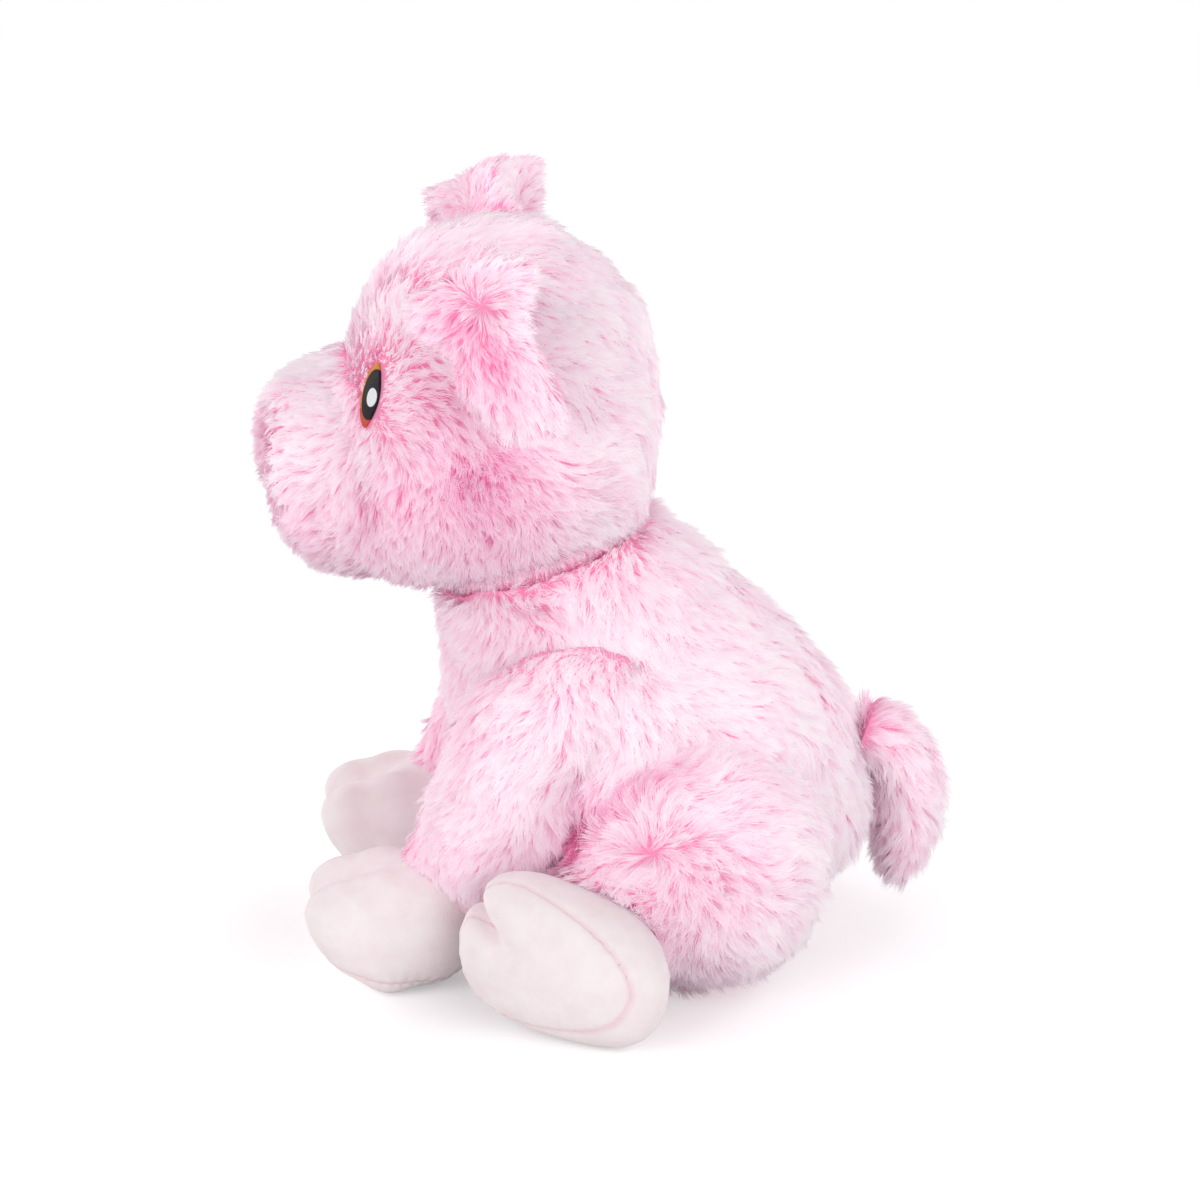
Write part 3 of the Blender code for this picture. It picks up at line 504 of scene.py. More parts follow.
# Neck. A firm wad of fibre under a round of pile cloth that lets the head turn and nod. Its front
# edge shows under the chin when the head looks up, so its pile lies outwards, over the collar.
NECK_TILT = math.radians(17.3)
NECK_AXIS = Vector((0, -math.sin(NECK_TILT), math.cos(NECK_TILT)))
NECK_BARE_RADIUS = 12 * MM
NECK_PILE_LENGTH = 6.5 * MM
# The last column is painted shade: a deep pink line where the neck meets the head's underside
NECK_STROKES = (
    ((0, -46, 116), (0.0, -1.0, -0.35), 26, 1.0, 0.32),
    ((20, -40, 118), (0.7, -0.7, -0.3), 26, 1.0, 0.32),
    ((30, -18, 124), (1.0, 0.0, -0.3), 26, 1.0, 0.32),
    ((0, 12, 132), (0.0, 1.0, -0.3), 24, 1.0, 0.20),
)
neck_skin = stuffed_skin("neck_backing", "neck", ["neck_wad"], grid=1.0 * MM, rounding=6, depth=0.6 * MM)


def neck_pile(roots, facing):
    """Keeps to the outer ring of the wad's round top."""
    from_pivot = roots - np.array(NECK_PIVOT)
    along = from_pivot @ np.array(NECK_AXIS)
    ring = np.linalg.norm(from_pivot - along[:, None] * np.array(NECK_AXIS), axis=1)
    return (facing @ np.array(NECK_AXIS) > 0.4) & (ring > NECK_BARE_RADIUS)


grow_pile("neck_pile", neck_skin, "neck", NECK_STROKES, 17, keep=neck_pile, length=NECK_PILE_LENGTH)


# Head. A cheek panel in front and a panel behind it meet in an upright crease below the ear, and a
# short snout tube with a round front is sewn on. Pile lies back over the crown, stands out on the
# cheeks, and spreads from the snout's tip.
CHEEK_CREASE = ((54, -27, 190), (55, -20, 174), (51, -17.5, 154), (42, -17.5, 139), (37, -17, 131))
SNOUT_CREASE = ((12, -80, 197), (31, -74, 178), (35, -70, 155), (26, -68, 133), (8, -66, 124))
# The last column is painted shade
HEAD_STROKES = (
    ((0, -104, 160), (0.0, -0.6, -0.6), 50, 0.8, 0.08),
    ((18, -102, 170), (0.9, -0.3, 0.2), 42, 0.75, 0.10),
    ((0, -100, 186), (0.0, -0.9, 0.3), 34, 0.8, 0.0),
    ((18, -100, 142), (0.5, -0.5, -0.6), 46, 0.85, 0.35),
    ((10, -92, 128), (0.1, -0.4, -0.9), 40, 0.9, 0.55),
    ((30, -88, 148), (0.3, -0.7, -0.6), 40, 0.9, 0.50),
    ((30, -86, 170), (0.3, -0.9, -0.2), 30, 0.85, 0.10),
    ((22, -84, 186), (0.3, -0.9, 0.1), 26, 0.8, 0.02),
    ((0, -86, 195), (0.0, -0.7, 0.4), 34, 0.8, 0.0),
    ((0, -78, 206), (0.0, 0.2, 1.0), 44, 0.8, 0.0),
    ((25, -72, 208), (0.2, 0.4, 0.9), 36, 0.75, 0.0),
    ((0, -55, 232), (0.0, 0.9, 0.4), 20, 1.0, 0.0),
    ((0, -20, 237), (0.0, 1.0, 0.0), 20, 1.0, 0.0),
    ((0, 10, 215), (0.0, 0.6, -0.8), 20, 1.0, 0.0),
    ((35, 0, 210), (0.1, 0.95, -0.2), 20, 1.0, 0.0),
    ((50, -5, 180), (0.1, 1.0, -0.1), 20, 1.0, 0.08),
    ((20, 18, 170), (0.0, 0.4, -0.9), 22, 1.0, 0.08),
    ((45, 0, 150), (0.1, 0.95, -0.3), 22, 1.0, 0.14),
    ((30, 12, 145), (0.1, 0.6, -0.8), 24, 1.0, 0.30),
    ((54, -38, 168), (0.6, 0.3, -0.3), 68, 0.8, 1.0),
    ((50, -50, 190), (0.4, 0.7, -0.4), 30, 0.85, 0.55),
    ((46, -62, 186), (0.4, 0.7, -0.4), 26, 0.8, 0.35),
    ((50, -34, 148), (0.4, 0.0, -0.9), 44, 0.8, 0.75),
    ((44, -60, 160), (0.4, -0.3, -0.6), 34, 0.85, 0.60),
    ((30, -50, 128), (0.3, 0.0, -1.0), 34, 0.95, 0.45),
    ((40, -66, 200), (0.2, 0.7, 0.4), 20, 0.75, 0.06),
    ((38, -70, 180), (0.3, -0.6, -0.6), 24, 0.6, 0.15),
)
EYE_DIRECTION = Vector((0.42, -0.90, 0.10)).normalized()
EYE_WIDTH = 9.8 * MM
EYE_HEIGHT = 20.5 * MM
EYE_SHIFT = (4.0 * MM, 3.0 * MM)
NOSTRIL_WIDTH = 6.5 * MM
NOSTRIL_HEIGHT = 9.5 * MM
EYE_TRIM = 0.5
NOSTRIL_TRIM = 0.75
CREASE_TRIM = 0.5
CREASE_TRIM_REACH = 4 * MM
PATCH_REACH = 12 * MM
NECK_MIDDLE_Y = -18 * MM
HOLLOW_RADIUS = 24 * MM
HOLLOW_REACH = 58 * MM


def press(shape, line, depth, width):
    """Presses a crease into a form along a line of places in mm, on both sides."""
    shape.normal_update()
    places = [Vector(place) * MM for place in line]
    moves = []
    for point in shape.verts:
        halved = Vector((abs(point.co.x), point.co.y, point.co.z))
        nearest = 1.0
        for start, end in zip(places, places[1:]):
            foot, share = intersect_point_line(halved, start, end)
            foot = start if share < 0 else end if share > 1 else foot
            nearest = min(nearest, (halved - foot).length)
        moves.append((point, point.normal * depth * math.exp(-(nearest / width) ** 2)))
    for point, move in moves:
        point.co -= move


def sculpt_head(shape):
    """Fuller under the ears, with the upright crease behind the cheek and the one round the snout's root."""
    nudge(shape, (37, -32, 229), (2, 0, 5), 13)
    press(shape, CHEEK_CREASE, 4.8 * MM, 3.6 * MM)
    press(shape, SNOUT_CREASE, 1.2 * MM, 4.0 * MM)


head_skin = stuffed_skin("head_backing", "head", ["head_cover", "head_stuffing", "snout_tube", "snout_disc"],
                         sculpt=sculpt_head)
head_tree = BVHTree.FromPolygons([point.co for point in head_skin.data.vertices],
                                 [face.vertices[:] for face in head_skin.data.polygons])


def patch_axes(out):
    """The directions across and up a patch that faces out."""
    across = Vector((0, 0, 1)).cross(out).normalized()
    return across, out.cross(across)


def middle_of(node):
    """The middle of a node's box."""
    low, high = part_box(node)
    return (Vector(low) + Vector(high)) / 2


EYE_ACROSS, EYE_UP = patch_axes(EYE_DIRECTION)
EYE_PLACE = middle_of("eye_left") + EYE_ACROSS * EYE_SHIFT[0] + EYE_UP * EYE_SHIFT[1]
NOSTRIL_PLACE = middle_of("nostril_left")
NOSTRIL_DIRECTION = head_tree.find_nearest(NOSTRIL_PLACE)[1]
PATCHES = ((EYE_PLACE, EYE_DIRECTION, EYE_WIDTH, EYE_HEIGHT),
           (NOSTRIL_PLACE, NOSTRIL_DIRECTION, NOSTRIL_WIDTH, NOSTRIL_HEIGHT))


def patch_radius(places, patch):
    """How far out each place lies from a patch's middle, where 1 is the patch's edge."""
    place, out, width, height = patch
    across, up = patch_axes(out)
    apart = on_one_side(places) - np.array(place)
    radius = np.hypot(apart @ np.array(across) / (width / 2), apart @ np.array(up) / (height / 2))
    return radius + np.where(np.abs(apart @ np.array(out)) > PATCH_REACH, 9.0, 0.0)


def head_pile(roots, facing):
    """Leaves out the hollow over the neck, the eyes and the nostrils."""
    reach = np.linalg.norm(roots - np.array(NECK_PIVOT), axis=1)
    from_middle = np.hypot(roots[:, 0], roots[:, 1] - NECK_MIDDLE_Y)
    hollow = (reach < HOLLOW_REACH) & (facing[:, 2] < -0.5) & (from_middle < HOLLOW_RADIUS)
    bare = np.zeros(len(roots), bool)
    for patch in PATCHES:
        bare |= patch_radius(roots, patch) < 0.97
    return ~(hollow | bare)


def head_trim(places):
    """The pile is trimmed short round the eyes and nostrils, and caught in the seam behind the cheek."""
    share = 1 - CREASE_TRIM * np.exp(-(gaps_to_line(places, CHEEK_CREASE) / CREASE_TRIM_REACH) ** 2)
    for patch, least in zip(PATCHES, (EYE_TRIM, NOSTRIL_TRIM)):
        clear = ((patch_radius(places, patch) - 1.0) / 0.55).clip(0, 1)
        share = np.minimum(share, least + (1 - least) * clear)
    return share


# Painted shade: deeper pink in the crease behind the cheek, and a little round the snout's root
grow_pile("head_pile", head_skin, "head", HEAD_STROKES, 23, keep=head_pile, trim=head_trim,
          painted_shade_lines=((CHEEK_CREASE, 3.2, 1.0), (SNOUT_CREASE[1:], 5.0, 0.10)))


# Eyes and nostrils. They are machine-embroidered in satin stitch: rows of rayon thread laid side by
# side, which give each colour a raised, faintly ribbed and glossy patch. The pitch is in mm.
THREAD_PITCH = 0.45
STITCH_GRID = 40


def make_stitches(name, width, base, spots):
    """Rayon satin stitch: upright threads side by side, with oval areas of other colours laid over."""
    made = blank_material(name)
    place = add_node(made, "ShaderNodeUVMap", uv_map="OFBake")
    parts = add_node(made, "ShaderNodeSeparateXYZ", {"Vector": place.outputs["UV"]})
    ragged = add_node(made, "ShaderNodeTexNoise", {"Vector": place.outputs["UV"], "Scale": 26.0})
    shift = add_node(made, "ShaderNodeMath", {0: ragged.outputs["Fac"], 1: 0.10, 2: -0.05},
                     operation="MULTIPLY_ADD")
    colour = add_node(made, "ShaderNodeRGB").outputs[0]
    colour.default_value = linear(base)
    for centre_u, centre_v, radius_u, radius_v, shade in spots:
        sides = []
        for socket, centre, radius in (("X", centre_u, radius_u), ("Y", centre_v, radius_v)):
            offset = add_node(made, "ShaderNodeMath", {0: parts.outputs[socket], 1: centre},
                              operation="SUBTRACT")
            scaled = add_node(made, "ShaderNodeMath", {0: offset.outputs[0], 1: radius}, operation="DIVIDE")
            sides.append(add_node(made, "ShaderNodeMath", {0: scaled.outputs[0], 1: 2.0}, operation="POWER"))
        total = add_node(made, "ShaderNodeMath", {0: sides[0].outputs[0], 1: sides[1].outputs[0]},
                         operation="ADD")
        wavy = add_node(made, "ShaderNodeMath", {0: total.outputs[0], 1: shift.outputs[0]}, operation="ADD")
        inside = add_node(made, "ShaderNodeMapRange", {
            "Value": wavy.outputs[0], "From Min": 1.04, "From Max": 0.96})
        mix = add_node(made, "ShaderNodeMix", {"Factor": inside.outputs[0]}, data_type="RGBA")
        made.node_tree.links.new(colour, mix.inputs[6])
        mix.inputs[7].default_value = linear(shade)
        colour = mix.outputs[2]
    threads = add_node(made, "ShaderNodeMath", {
        0: parts.outputs["X"], 1: width / MM / THREAD_PITCH * math.pi}, operation="MULTIPLY")
    ridge = add_node(made, "ShaderNodeMath", {0: threads.outputs[0]}, operation="SINE")
    height = add_node(made, "ShaderNodeMath", {0: ridge.outputs[0]}, operation="ABSOLUTE")
    bump = add_node(made, "ShaderNodeBump", {
        "Height": height.outputs[0], "Strength": 0.6, "Distance": 0.2 * MM})
    shader = add_node(made, "ShaderNodeBsdfPrincipled", {
        "Base Color": colour, "Roughness": 0.5, "Specular IOR Level": 0.25, "Normal": bump.outputs[0]})
    return close_material(made, shader)


def embroider(name, material, patch, rise, crown, point_share):
    """An oval or almond patch of stitches on both sides of the head's skin, in place of its node."""
    place, out, width, height = patch
    across, up = patch_axes(out)
    shape = bmesh.new()
    bmesh.ops.create_grid(shape, x_segments=STITCH_GRID, y_segments=STITCH_GRID, size=1.0)
    sheet = shape.loops.layers.uv.new("OFBake")
    for point in shape.verts:
        x, y = point.co.x, point.co.y
        point.co.x, point.co.y = x * math.sqrt(1 - y * y / 2), y * math.sqrt(1 - x * x / 2)
        point.co.x *= 1 - point_share * abs(point.co.y) ** 2
    for face in shape.faces:
        for corner in face.loops:
            corner[sheet].uv = (corner.vert.co.x / 2 + 0.5, corner.vert.co.y / 2 + 0.5)
    for point in shape.verts:
        flat = Vector((point.co.x, point.co.y))
        start = place + across * (flat.x * width / 2) + up * (flat.y * height / 2) + out * 15 * MM
        hit = head_tree.ray_cast(start, -out)[0]
        point.co = hit + out * (rise + crown * (1 - flat.length ** 2))
    bmesh.ops.recalc_face_normals(shape, faces=shape.faces)
    bmesh.ops.solidify(shape, geom=shape.faces, thickness=rise + 0.6 * MM)
    smooth(shape, 1)
    other = shape.copy()
    bmesh.ops.scale(other, verts=other.verts, vec=(-1, 1, 1))
    for side, form in (("left", shape), ("right", other)):
        bmesh.ops.recalc_face_normals(form, faces=form.faces)
        made = finish_piece(f"{name}_{side}_stitches", form, material, "head")
        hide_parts(f"{name}_{side}")


EYE_STITCHES = make_stitches("rayon_satin_stitch_eye", EYE_WIDTH, "#e0984f", (
    (0.45, 0.10, 0.60, 0.18, "#cf5a40"),
    (0.68, 0.53, 0.46, 0.38, "#160f13"),
    (0.76, 0.50, 0.20, 0.14, "#f6f6fb"),
))
NOSTRIL_STITCHES = make_stitches("rayon_satin_stitch_nostril", NOSTRIL_WIDTH, "#d9789c", (
    (0.5, 0.5, 0.36, 0.38, "#b9567f"),
))
embroider("eye", EYE_STITCHES, PATCHES[0], 0.9 * MM, 0.8 * MM, 0.5)
embroider("nostril", NOSTRIL_STITCHES, PATCHES[1], 1.2 * MM, 0.8 * MM, 0.0)


# Hooves. Each is a stuffed bag of pale short-napped velour: an upper of two lobes that part in a
# cleft at the toe, and a sole sewn to it in a seam that draws the cloth into small puckers.
HOOF_GRID = 1.5 * MM
HOOF_ROUNDING = 22
SEAM_WIDTH = 2.0 * MM
SEAM_INSET = 0.7 * MM
PUCKER_PITCH = 4.6 * MM
PUCKER_HEIGHT = 0.3 * MM
PUCKER_REACH = 2.4 * MM
PUCKER_SWELL = 17 * MM
HOOF_RADIUS = 24 * MM
SEAM_BLUSH_AND_SHADE = 0.4
SEAM_BLUSH_AND_SHADE_WIDTH = 0.6 * MM
NAP_PITCH = 0.42 * MM
# Front hoof: middle and half size of each toe's tip and root and of the heel, in shares of half its box
FRONT_LOBES = (
    ((0.46, -0.50, -0.06), (0.50, 0.50, 0.80)),
    ((-0.46, -0.50, -0.06), (0.50, 0.50, 0.80)),
    ((0.44, -0.10, -0.04), (0.55, 0.64, 0.96)),
    ((-0.44, -0.10, -0.04), (0.55, 0.64, 0.96)),
    ((0.0, 0.28, 0.0), (0.98, 0.72, 1.0)),
)
FRONT_TOE_RISE = 13 * MM


def make_velour():
    """Short-napped polyester velour: pale blush, matt, with a fine nap that catches light at its edge."""
    made = blank_material("short_nap_velour")
    place = add_node(made, "ShaderNodeTexCoord")
    cloudy = add_node(made, "ShaderNodeTexNoise", {
        "Vector": place.outputs["Object"], "Scale": 1 / (7 * MM), "Detail": 3.0})
    nap = add_node(made, "ShaderNodeTexNoise", {
        "Vector": place.outputs["Object"], "Scale": 1 / NAP_PITCH, "Detail": 2.0})
    both = add_node(made, "ShaderNodeMath", {0: nap.outputs["Fac"], 1: 0.35, 2: cloudy.outputs["Fac"]},
                    operation="MULTIPLY_ADD")
    ramp = add_node(made, "ShaderNodeValToRGB", {"Fac": both.outputs[0]})
    for stop, position, colour in zip(ramp.color_ramp.elements, (0.30, 0.90), ("#f9e9ec", "#fff6f8")):
        stop.position = position
        stop.color = linear(colour)
    # Pink along the seam: the backing and thread that show there, and painted shade in the seam's groove
    near_seam = add_node(made, "ShaderNodeAttribute", attribute_name="seam")
    seam_blush_and_shade = add_node(made, "ShaderNodeMix", {"Factor": near_seam.outputs["Fac"]}, data_type="RGBA")
    made.node_tree.links.new(ramp.outputs["Color"], seam_blush_and_shade.inputs[6])
    seam_blush_and_shade.inputs[7].default_value = linear("#efbfcc")
    bump = add_node(made, "ShaderNodeBump", {
        "Height": nap.outputs["Fac"], "Strength": 0.45, "Distance": 0.22 * MM})
    shader = add_node(made, "ShaderNodeBsdfPrincipled", {
        "Base Color": seam_blush_and_shade.outputs[2], "Roughness": 0.9, "Specular IOR Level": 0.15,
        "Sheen Weight": 0.25, "Sheen Roughness": 0.4, "Normal": bump.outputs[0]})
    return close_material(made, shader)


VELOUR = make_velour()


def eased(value, low, high):
    """Nought below the low value and one above the high one, with a soft change between."""
    share = min(1.0, max(0.0, (value - low) / (high - low)))
    return share * share * (3 - 2 * share)


def hoof_form(names, lobes, rounding):
    """A hoof's smooth closed form, of lobes or else round its two nodes, and as large as they are."""
    corners = [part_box(name) for name in names]
    low = Vector([min(corner[0][axis] for corner in corners) for axis in range(3)])
    high = Vector([max(corner[1][axis] for corner in corners) for axis in range(3)])
    middle, half = (low + high) / 2, (high - low) / 2
    body = bmesh.new() if lobes else hull_of(names)
    for place, sizes in lobes:
        centre, size = middle + Vector(place) * half, Vector(sizes) * half
        bmesh.ops.create_icosphere(body, subdivisions=4, radius=1.0,
                                   matrix=Matrix.Translation(centre) @ Matrix.Diagonal((*size, 1.0)))
    shape = even_grid(body, HOOF_GRID)
    for point in shape.verts:
        point.co.z = max(point.co.z, low.z)
    smooth(shape, rounding)
    now = [(min(point.co[axis] for point in shape.verts), max(point.co[axis] for point in shape.verts))
           for axis in range(3)]
    for point in shape.verts:
        for axis in range(3):
            share = (point.co[axis] - now[axis][0]) / (now[axis][1] - now[axis][0])
            point.co[axis] = low[axis] + share * (high[axis] - low[axis])
    bmesh.ops.subdivide_edges(shape, edges=shape.edges, cuts=1, use_grid_fill=True, smooth=0.0)
    smooth(shape, 3)
    return shape


def part_toes(shape, toe, up, depth, top_start, sole_start, lobe_rise):
    """Presses the cleft between the two toes, and lets the lobes beside it swell."""
    side = toe.cross(up).normalized()
    middle = sum((point.co for point in shape.verts), Vector()) / len(shape.verts)
    apart = [(point, point.co - middle) for point in shape.verts]
    half_length = max(gap.dot(toe) for _, gap in apart)
    half_height = max(gap.dot(up) for _, gap in apart)
    half_width = max(gap.dot(side) for _, gap in apart)
    for point, gap in apart:
        run = gap.dot(toe) / half_length
        start = sole_start + (top_start - sole_start) * eased(gap.dot(up) / half_height, -0.5, 0.4)
        strength = eased(run, start, 1.0)
        sideways = gap.dot(side)
        core = middle + toe * (half_length * min(run, 0.2))
        inward = (core - point.co).normalized()
        wide = 3.0 * MM + 2.5 * MM * (1 - strength)
        groove = depth * strength ** 1.3 * math.exp(-(sideways / wide) ** 2)
        from_lobe = (abs(sideways) - half_width * 0.45) / (half_width * 0.35)
        lobe = lobe_rise * strength * math.exp(-from_lobe ** 2)
        point.co += inward * (groove - lobe)
    smooth(shape, 1)


def seam_edges(shape, level, up, sign, seed):
    """Rolls a piece in at its seam, puckers the cloth beside it, and marks the seam line, drawn pink there
    for the backing that shows and for painted shade in the seam's groove.
    """
    middle = sum((point.co for point in shape.verts), Vector()) / len(shape.verts)
    across, ahead = patch_axes(up) if abs(up.z) < 0.9 else (Vector((1, 0, 0)), Vector((0, 1, 0)))
    layer = shape.verts.layers.float.new("seam")
    for point in shape.verts:
        apart = abs(point.co.dot(up) - level)
        point[layer] = SEAM_BLUSH_AND_SHADE * math.exp(-(apart / SEAM_BLUSH_AND_SHADE_WIDTH) ** 2)
        gap = point.co - middle
        gap -= up * gap.dot(up)
        if gap.length < 4 * MM:
            continue
        out = gap.normalized()
        around = math.atan2(gap.dot(ahead), gap.dot(across)) * HOOF_RADIUS
        wave = math.sin(around / PUCKER_PITCH * 2 * math.pi + seed)
        wave *= 0.6 + 0.4 * math.sin(around / PUCKER_SWELL + seed)
        roll = SEAM_INSET * max(0.0, 1 - apart / SEAM_WIDTH) ** 2
        pucker = PUCKER_HEIGHT * wave * math.exp(-apart / PUCKER_REACH)
        point.co += out * (pucker - roll) - up * (sign * 0.1 * MM if apart < 0.05 * MM else 0.0)


def raise_toe(shape, rise, toe, heel, high):
    """Lifts the underside of a hoof from its middle to its toe, and its top not at all."""
    start = (toe + heel) / 2
    for point in shape.verts:
        share = min(1.0, max(0.0, (start - point.co.y) / (start - toe)))
        point.co.z += rise * share ** 2 * (1 - point.co.z / high)


def closed_form(shape, mirrored):
    """A form as a tree to measure against, with the low and high corner of its box. It uses the form up."""
    if mirrored:
        bmesh.ops.scale(shape, verts=shape.verts, vec=(-1, 1, 1))
        bmesh.ops.reverse_faces(shape, faces=shape.faces)
    points = np.array([point.co for point in shape.verts])
    tree = BVHTree.FromBMesh(shape)
    shape.free()
    return tree, points.min(axis=0) - 1 * MM, points.max(axis=0) + 1 * MM


def hull_of(names):
    """The closed hull round some nodes."""
    joined = world_copy(names)
    body = bmesh.new()
    for point in joined.verts:
        body.verts.new(point.co)
    joined.free()
    bmesh.ops.convex_hull(body, input=body.verts)
    bmesh.ops.delete(body, geom=[point for point in body.verts if not point.link_faces], context="VERTS")
    bmesh.ops.recalc_face_normals(body, faces=body.faces)
    return body


def build_hooves(leg, lobes, rounding, up, cleft, tilt, depth, top_start, sole_start, lobe_rise, toe_rise,
                 seed):
    """Both hooves of one pair of legs, and for each its form and its hull for the pile to clear."""
    names = [f"{leg}_hoof_upper_left", f"{leg}_hoof_sole_left"]
    whole = hoof_form(names, lobes, rounding)
    ahead = [point.co.y for point in whole.verts]
    bend = (toe_rise, min(ahead), max(ahead), max(point.co.z for point in whole.verts))
    trees = []
    for mirrored in (False, True):
        form = whole.copy()
        raise_toe(form, *bend)
        trees.append((closed_form(form, mirrored), closed_form(hull_of(names), mirrored)))
    part_toes(whole, cleft, up, depth, top_start, sole_start, lobe_rise)
    for point in whole.verts:
        point.co.z = max(point.co.z, 0.05 * MM)
    middle = sum((point.co for point in whole.verts), Vector()) / len(whole.verts)
    rise = max(point.co.dot(up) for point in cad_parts[names[1]].data.vertices) - middle.dot(up)
    seam_up = (up + tilt).normalized()
    level = (middle + up * rise).dot(seam_up)
    for kind, keep_above in (("upper", True), ("sole", False)):
        piece = whole.copy()
        cut = bmesh.ops.bisect_plane(piece, geom=piece.verts[:] + piece.edges[:] + piece.faces[:], dist=1e-6,
                                     plane_co=seam_up * level, plane_no=seam_up, clear_inner=keep_above,
                                     clear_outer=not keep_above)
        rim = [item for item in cut["geom_cut"] if isinstance(item, bmesh.types.BMEdge)]
        bmesh.ops.triangulate(piece, faces=bmesh.ops.contextual_create(piece, geom=rim)["faces"])
        seam_edges(piece, level, seam_up, 1 if keep_above else -1, seed)
        raise_toe(piece, *bend)
        other = piece.copy()
        bmesh.ops.scale(other, verts=other.verts, vec=(-1, 1, 1))
        for side, form in (("left", piece), ("right", other)):
            bmesh.ops.recalc_face_normals(form, faces=form.faces)
            made = finish_piece(f"{leg}_{kind}_velour_{side}", form, VELOUR, f"{leg}_{side}")
            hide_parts(f"{leg}_hoof_{kind}_{side}")
    whole.free()
    return dict(zip(("left", "right"), trees))


HIND_TOE = Vector((-0.27, -0.93, 0.24)).normalized()
HIND_UP = -Vector((0.91, -0.41, -0.08))
HIND_UP = (HIND_UP - HIND_TOE * HIND_UP.dot(HIND_TOE)).normalized()
HIND_CLEFT = Vector((-0.305, -0.784, 0.540))
HIND_CLEFT = (HIND_CLEFT - HIND_UP * HIND_CLEFT.dot(HIND_UP)).normalized()
HIND_TILT = HIND_TOE * -0.24 + HIND_TOE.cross(HIND_UP) * 0.17
HOOVES = {
    "front_leg": build_hooves("front_leg", FRONT_LOBES, 9, Vector((0, 0, 1)), Vector((0, -1, 0)),
                              Vector((0, 0.06, 0)), 3.0 * MM, 0.1, 0.4, 0.0, FRONT_TOE_RISE, 0.4),
    "hind_leg": build_hooves("hind_leg", (), HOOF_ROUNDING, HIND_UP, HIND_CLEFT, HIND_TILT,
                             9.0 * MM, -0.1, 0.2, 1.5 * MM, 0.0, 2.1),
}


# Legs. Each is a sleeve of pile cloth stuffed with fibre; the front legs hang from the shoulder to
# the floor, and the hind legs are round thighs that lie beside the rump. The pile ends over the hoof.
# The last column is painted shade
FRONT_LEG_STROKES = (
    ((50, -10, 116), (0.2, -0.1, -0.7), 34, 0.9, 0.06),
    ((62, -15, 90), (0.1, -0.15, -1.0), 26, 1.0, 0.12),
    ((60, -35, 70), (0.1, -0.3, -1.0), 25, 1.0, 0.15),
    ((60, -30, 40), (0.1, -0.4, -0.9), 25, 1.0, 0.25),
    ((40, -50, 60), (0.0, -0.5, -0.9), 22, 0.9, 0.3),
    ((40, 5, 80), (0.0, 0.2, -1.0), 26, 1.0, 0.4),
    ((25, -40, 50), (-0.3, -0.3, -0.9), 24, 0.9, 0.6),
)
# The last column is painted shade
HIND_LEG_STROKES = (
    ((79, 22, 44), (0.3, -0.3, -0.6), 54, 0.9, 0.40),
    ((80, 34, 50), (0.6, 0.5, 0.2), 48, 0.9, 0.40),
    ((66, 30, 80), (0.1, 0.6, 0.5), 24, 1.0, 0.15),
    ((66, 60, 55), (0.1, 1.0, 0.1), 22, 1.0, 0.08),
    ((62, 52, 20), (0.1, 0.6, -0.8), 24, 1.0, 0.12),
    ((70, 28, 14), (0.2, 0.2, -1.0), 26, 1.0, 0.30),
    ((74, 4, 66), (0.2, -0.5, 0.4), 26, 1.0, 0.15),
    ((76, 22, 68), (0.3, 0.2, 0.8), 34, 1.0, 0.15),
    ((45, 30, 82), (0.0, 0.8, 0.2), 24, 1.0, 0.2),
    ((45, 68, 40), (0.0, 0.7, -0.7), 24, 1.0, 0.12),
    ((80, 8, 40), (0.5, -0.6, -0.4), 40, 1.0, 0.36),
)

HOOF_FRINGE = 11 * MM
SHORTEST_FRINGE = {"front_leg": 0.45, "hind_leg": 0.9}
SKIN_IN_HOOF = 10.5 * MM
# How the two legs fill the fold between them: place and move in mm, reach
LEG_FILLS = {
    "front_leg": (((58, -6, 54), (0, 6, -2), 12), ((56, -14, 46), (0, 6, 0), 9)),
    "hind_leg": (((66, -6, 50), (0, -5, 2), 11), ((70, -8, 44), (0, -3, 2), 9)),
}


def rise_over(place, form):
    """How far a place lies outside a closed form, with the nearest place on it and the way out there."""
    near, normal, _, _ = form[0].find_nearest(place)
    return (place - near).dot(normal), near, normal


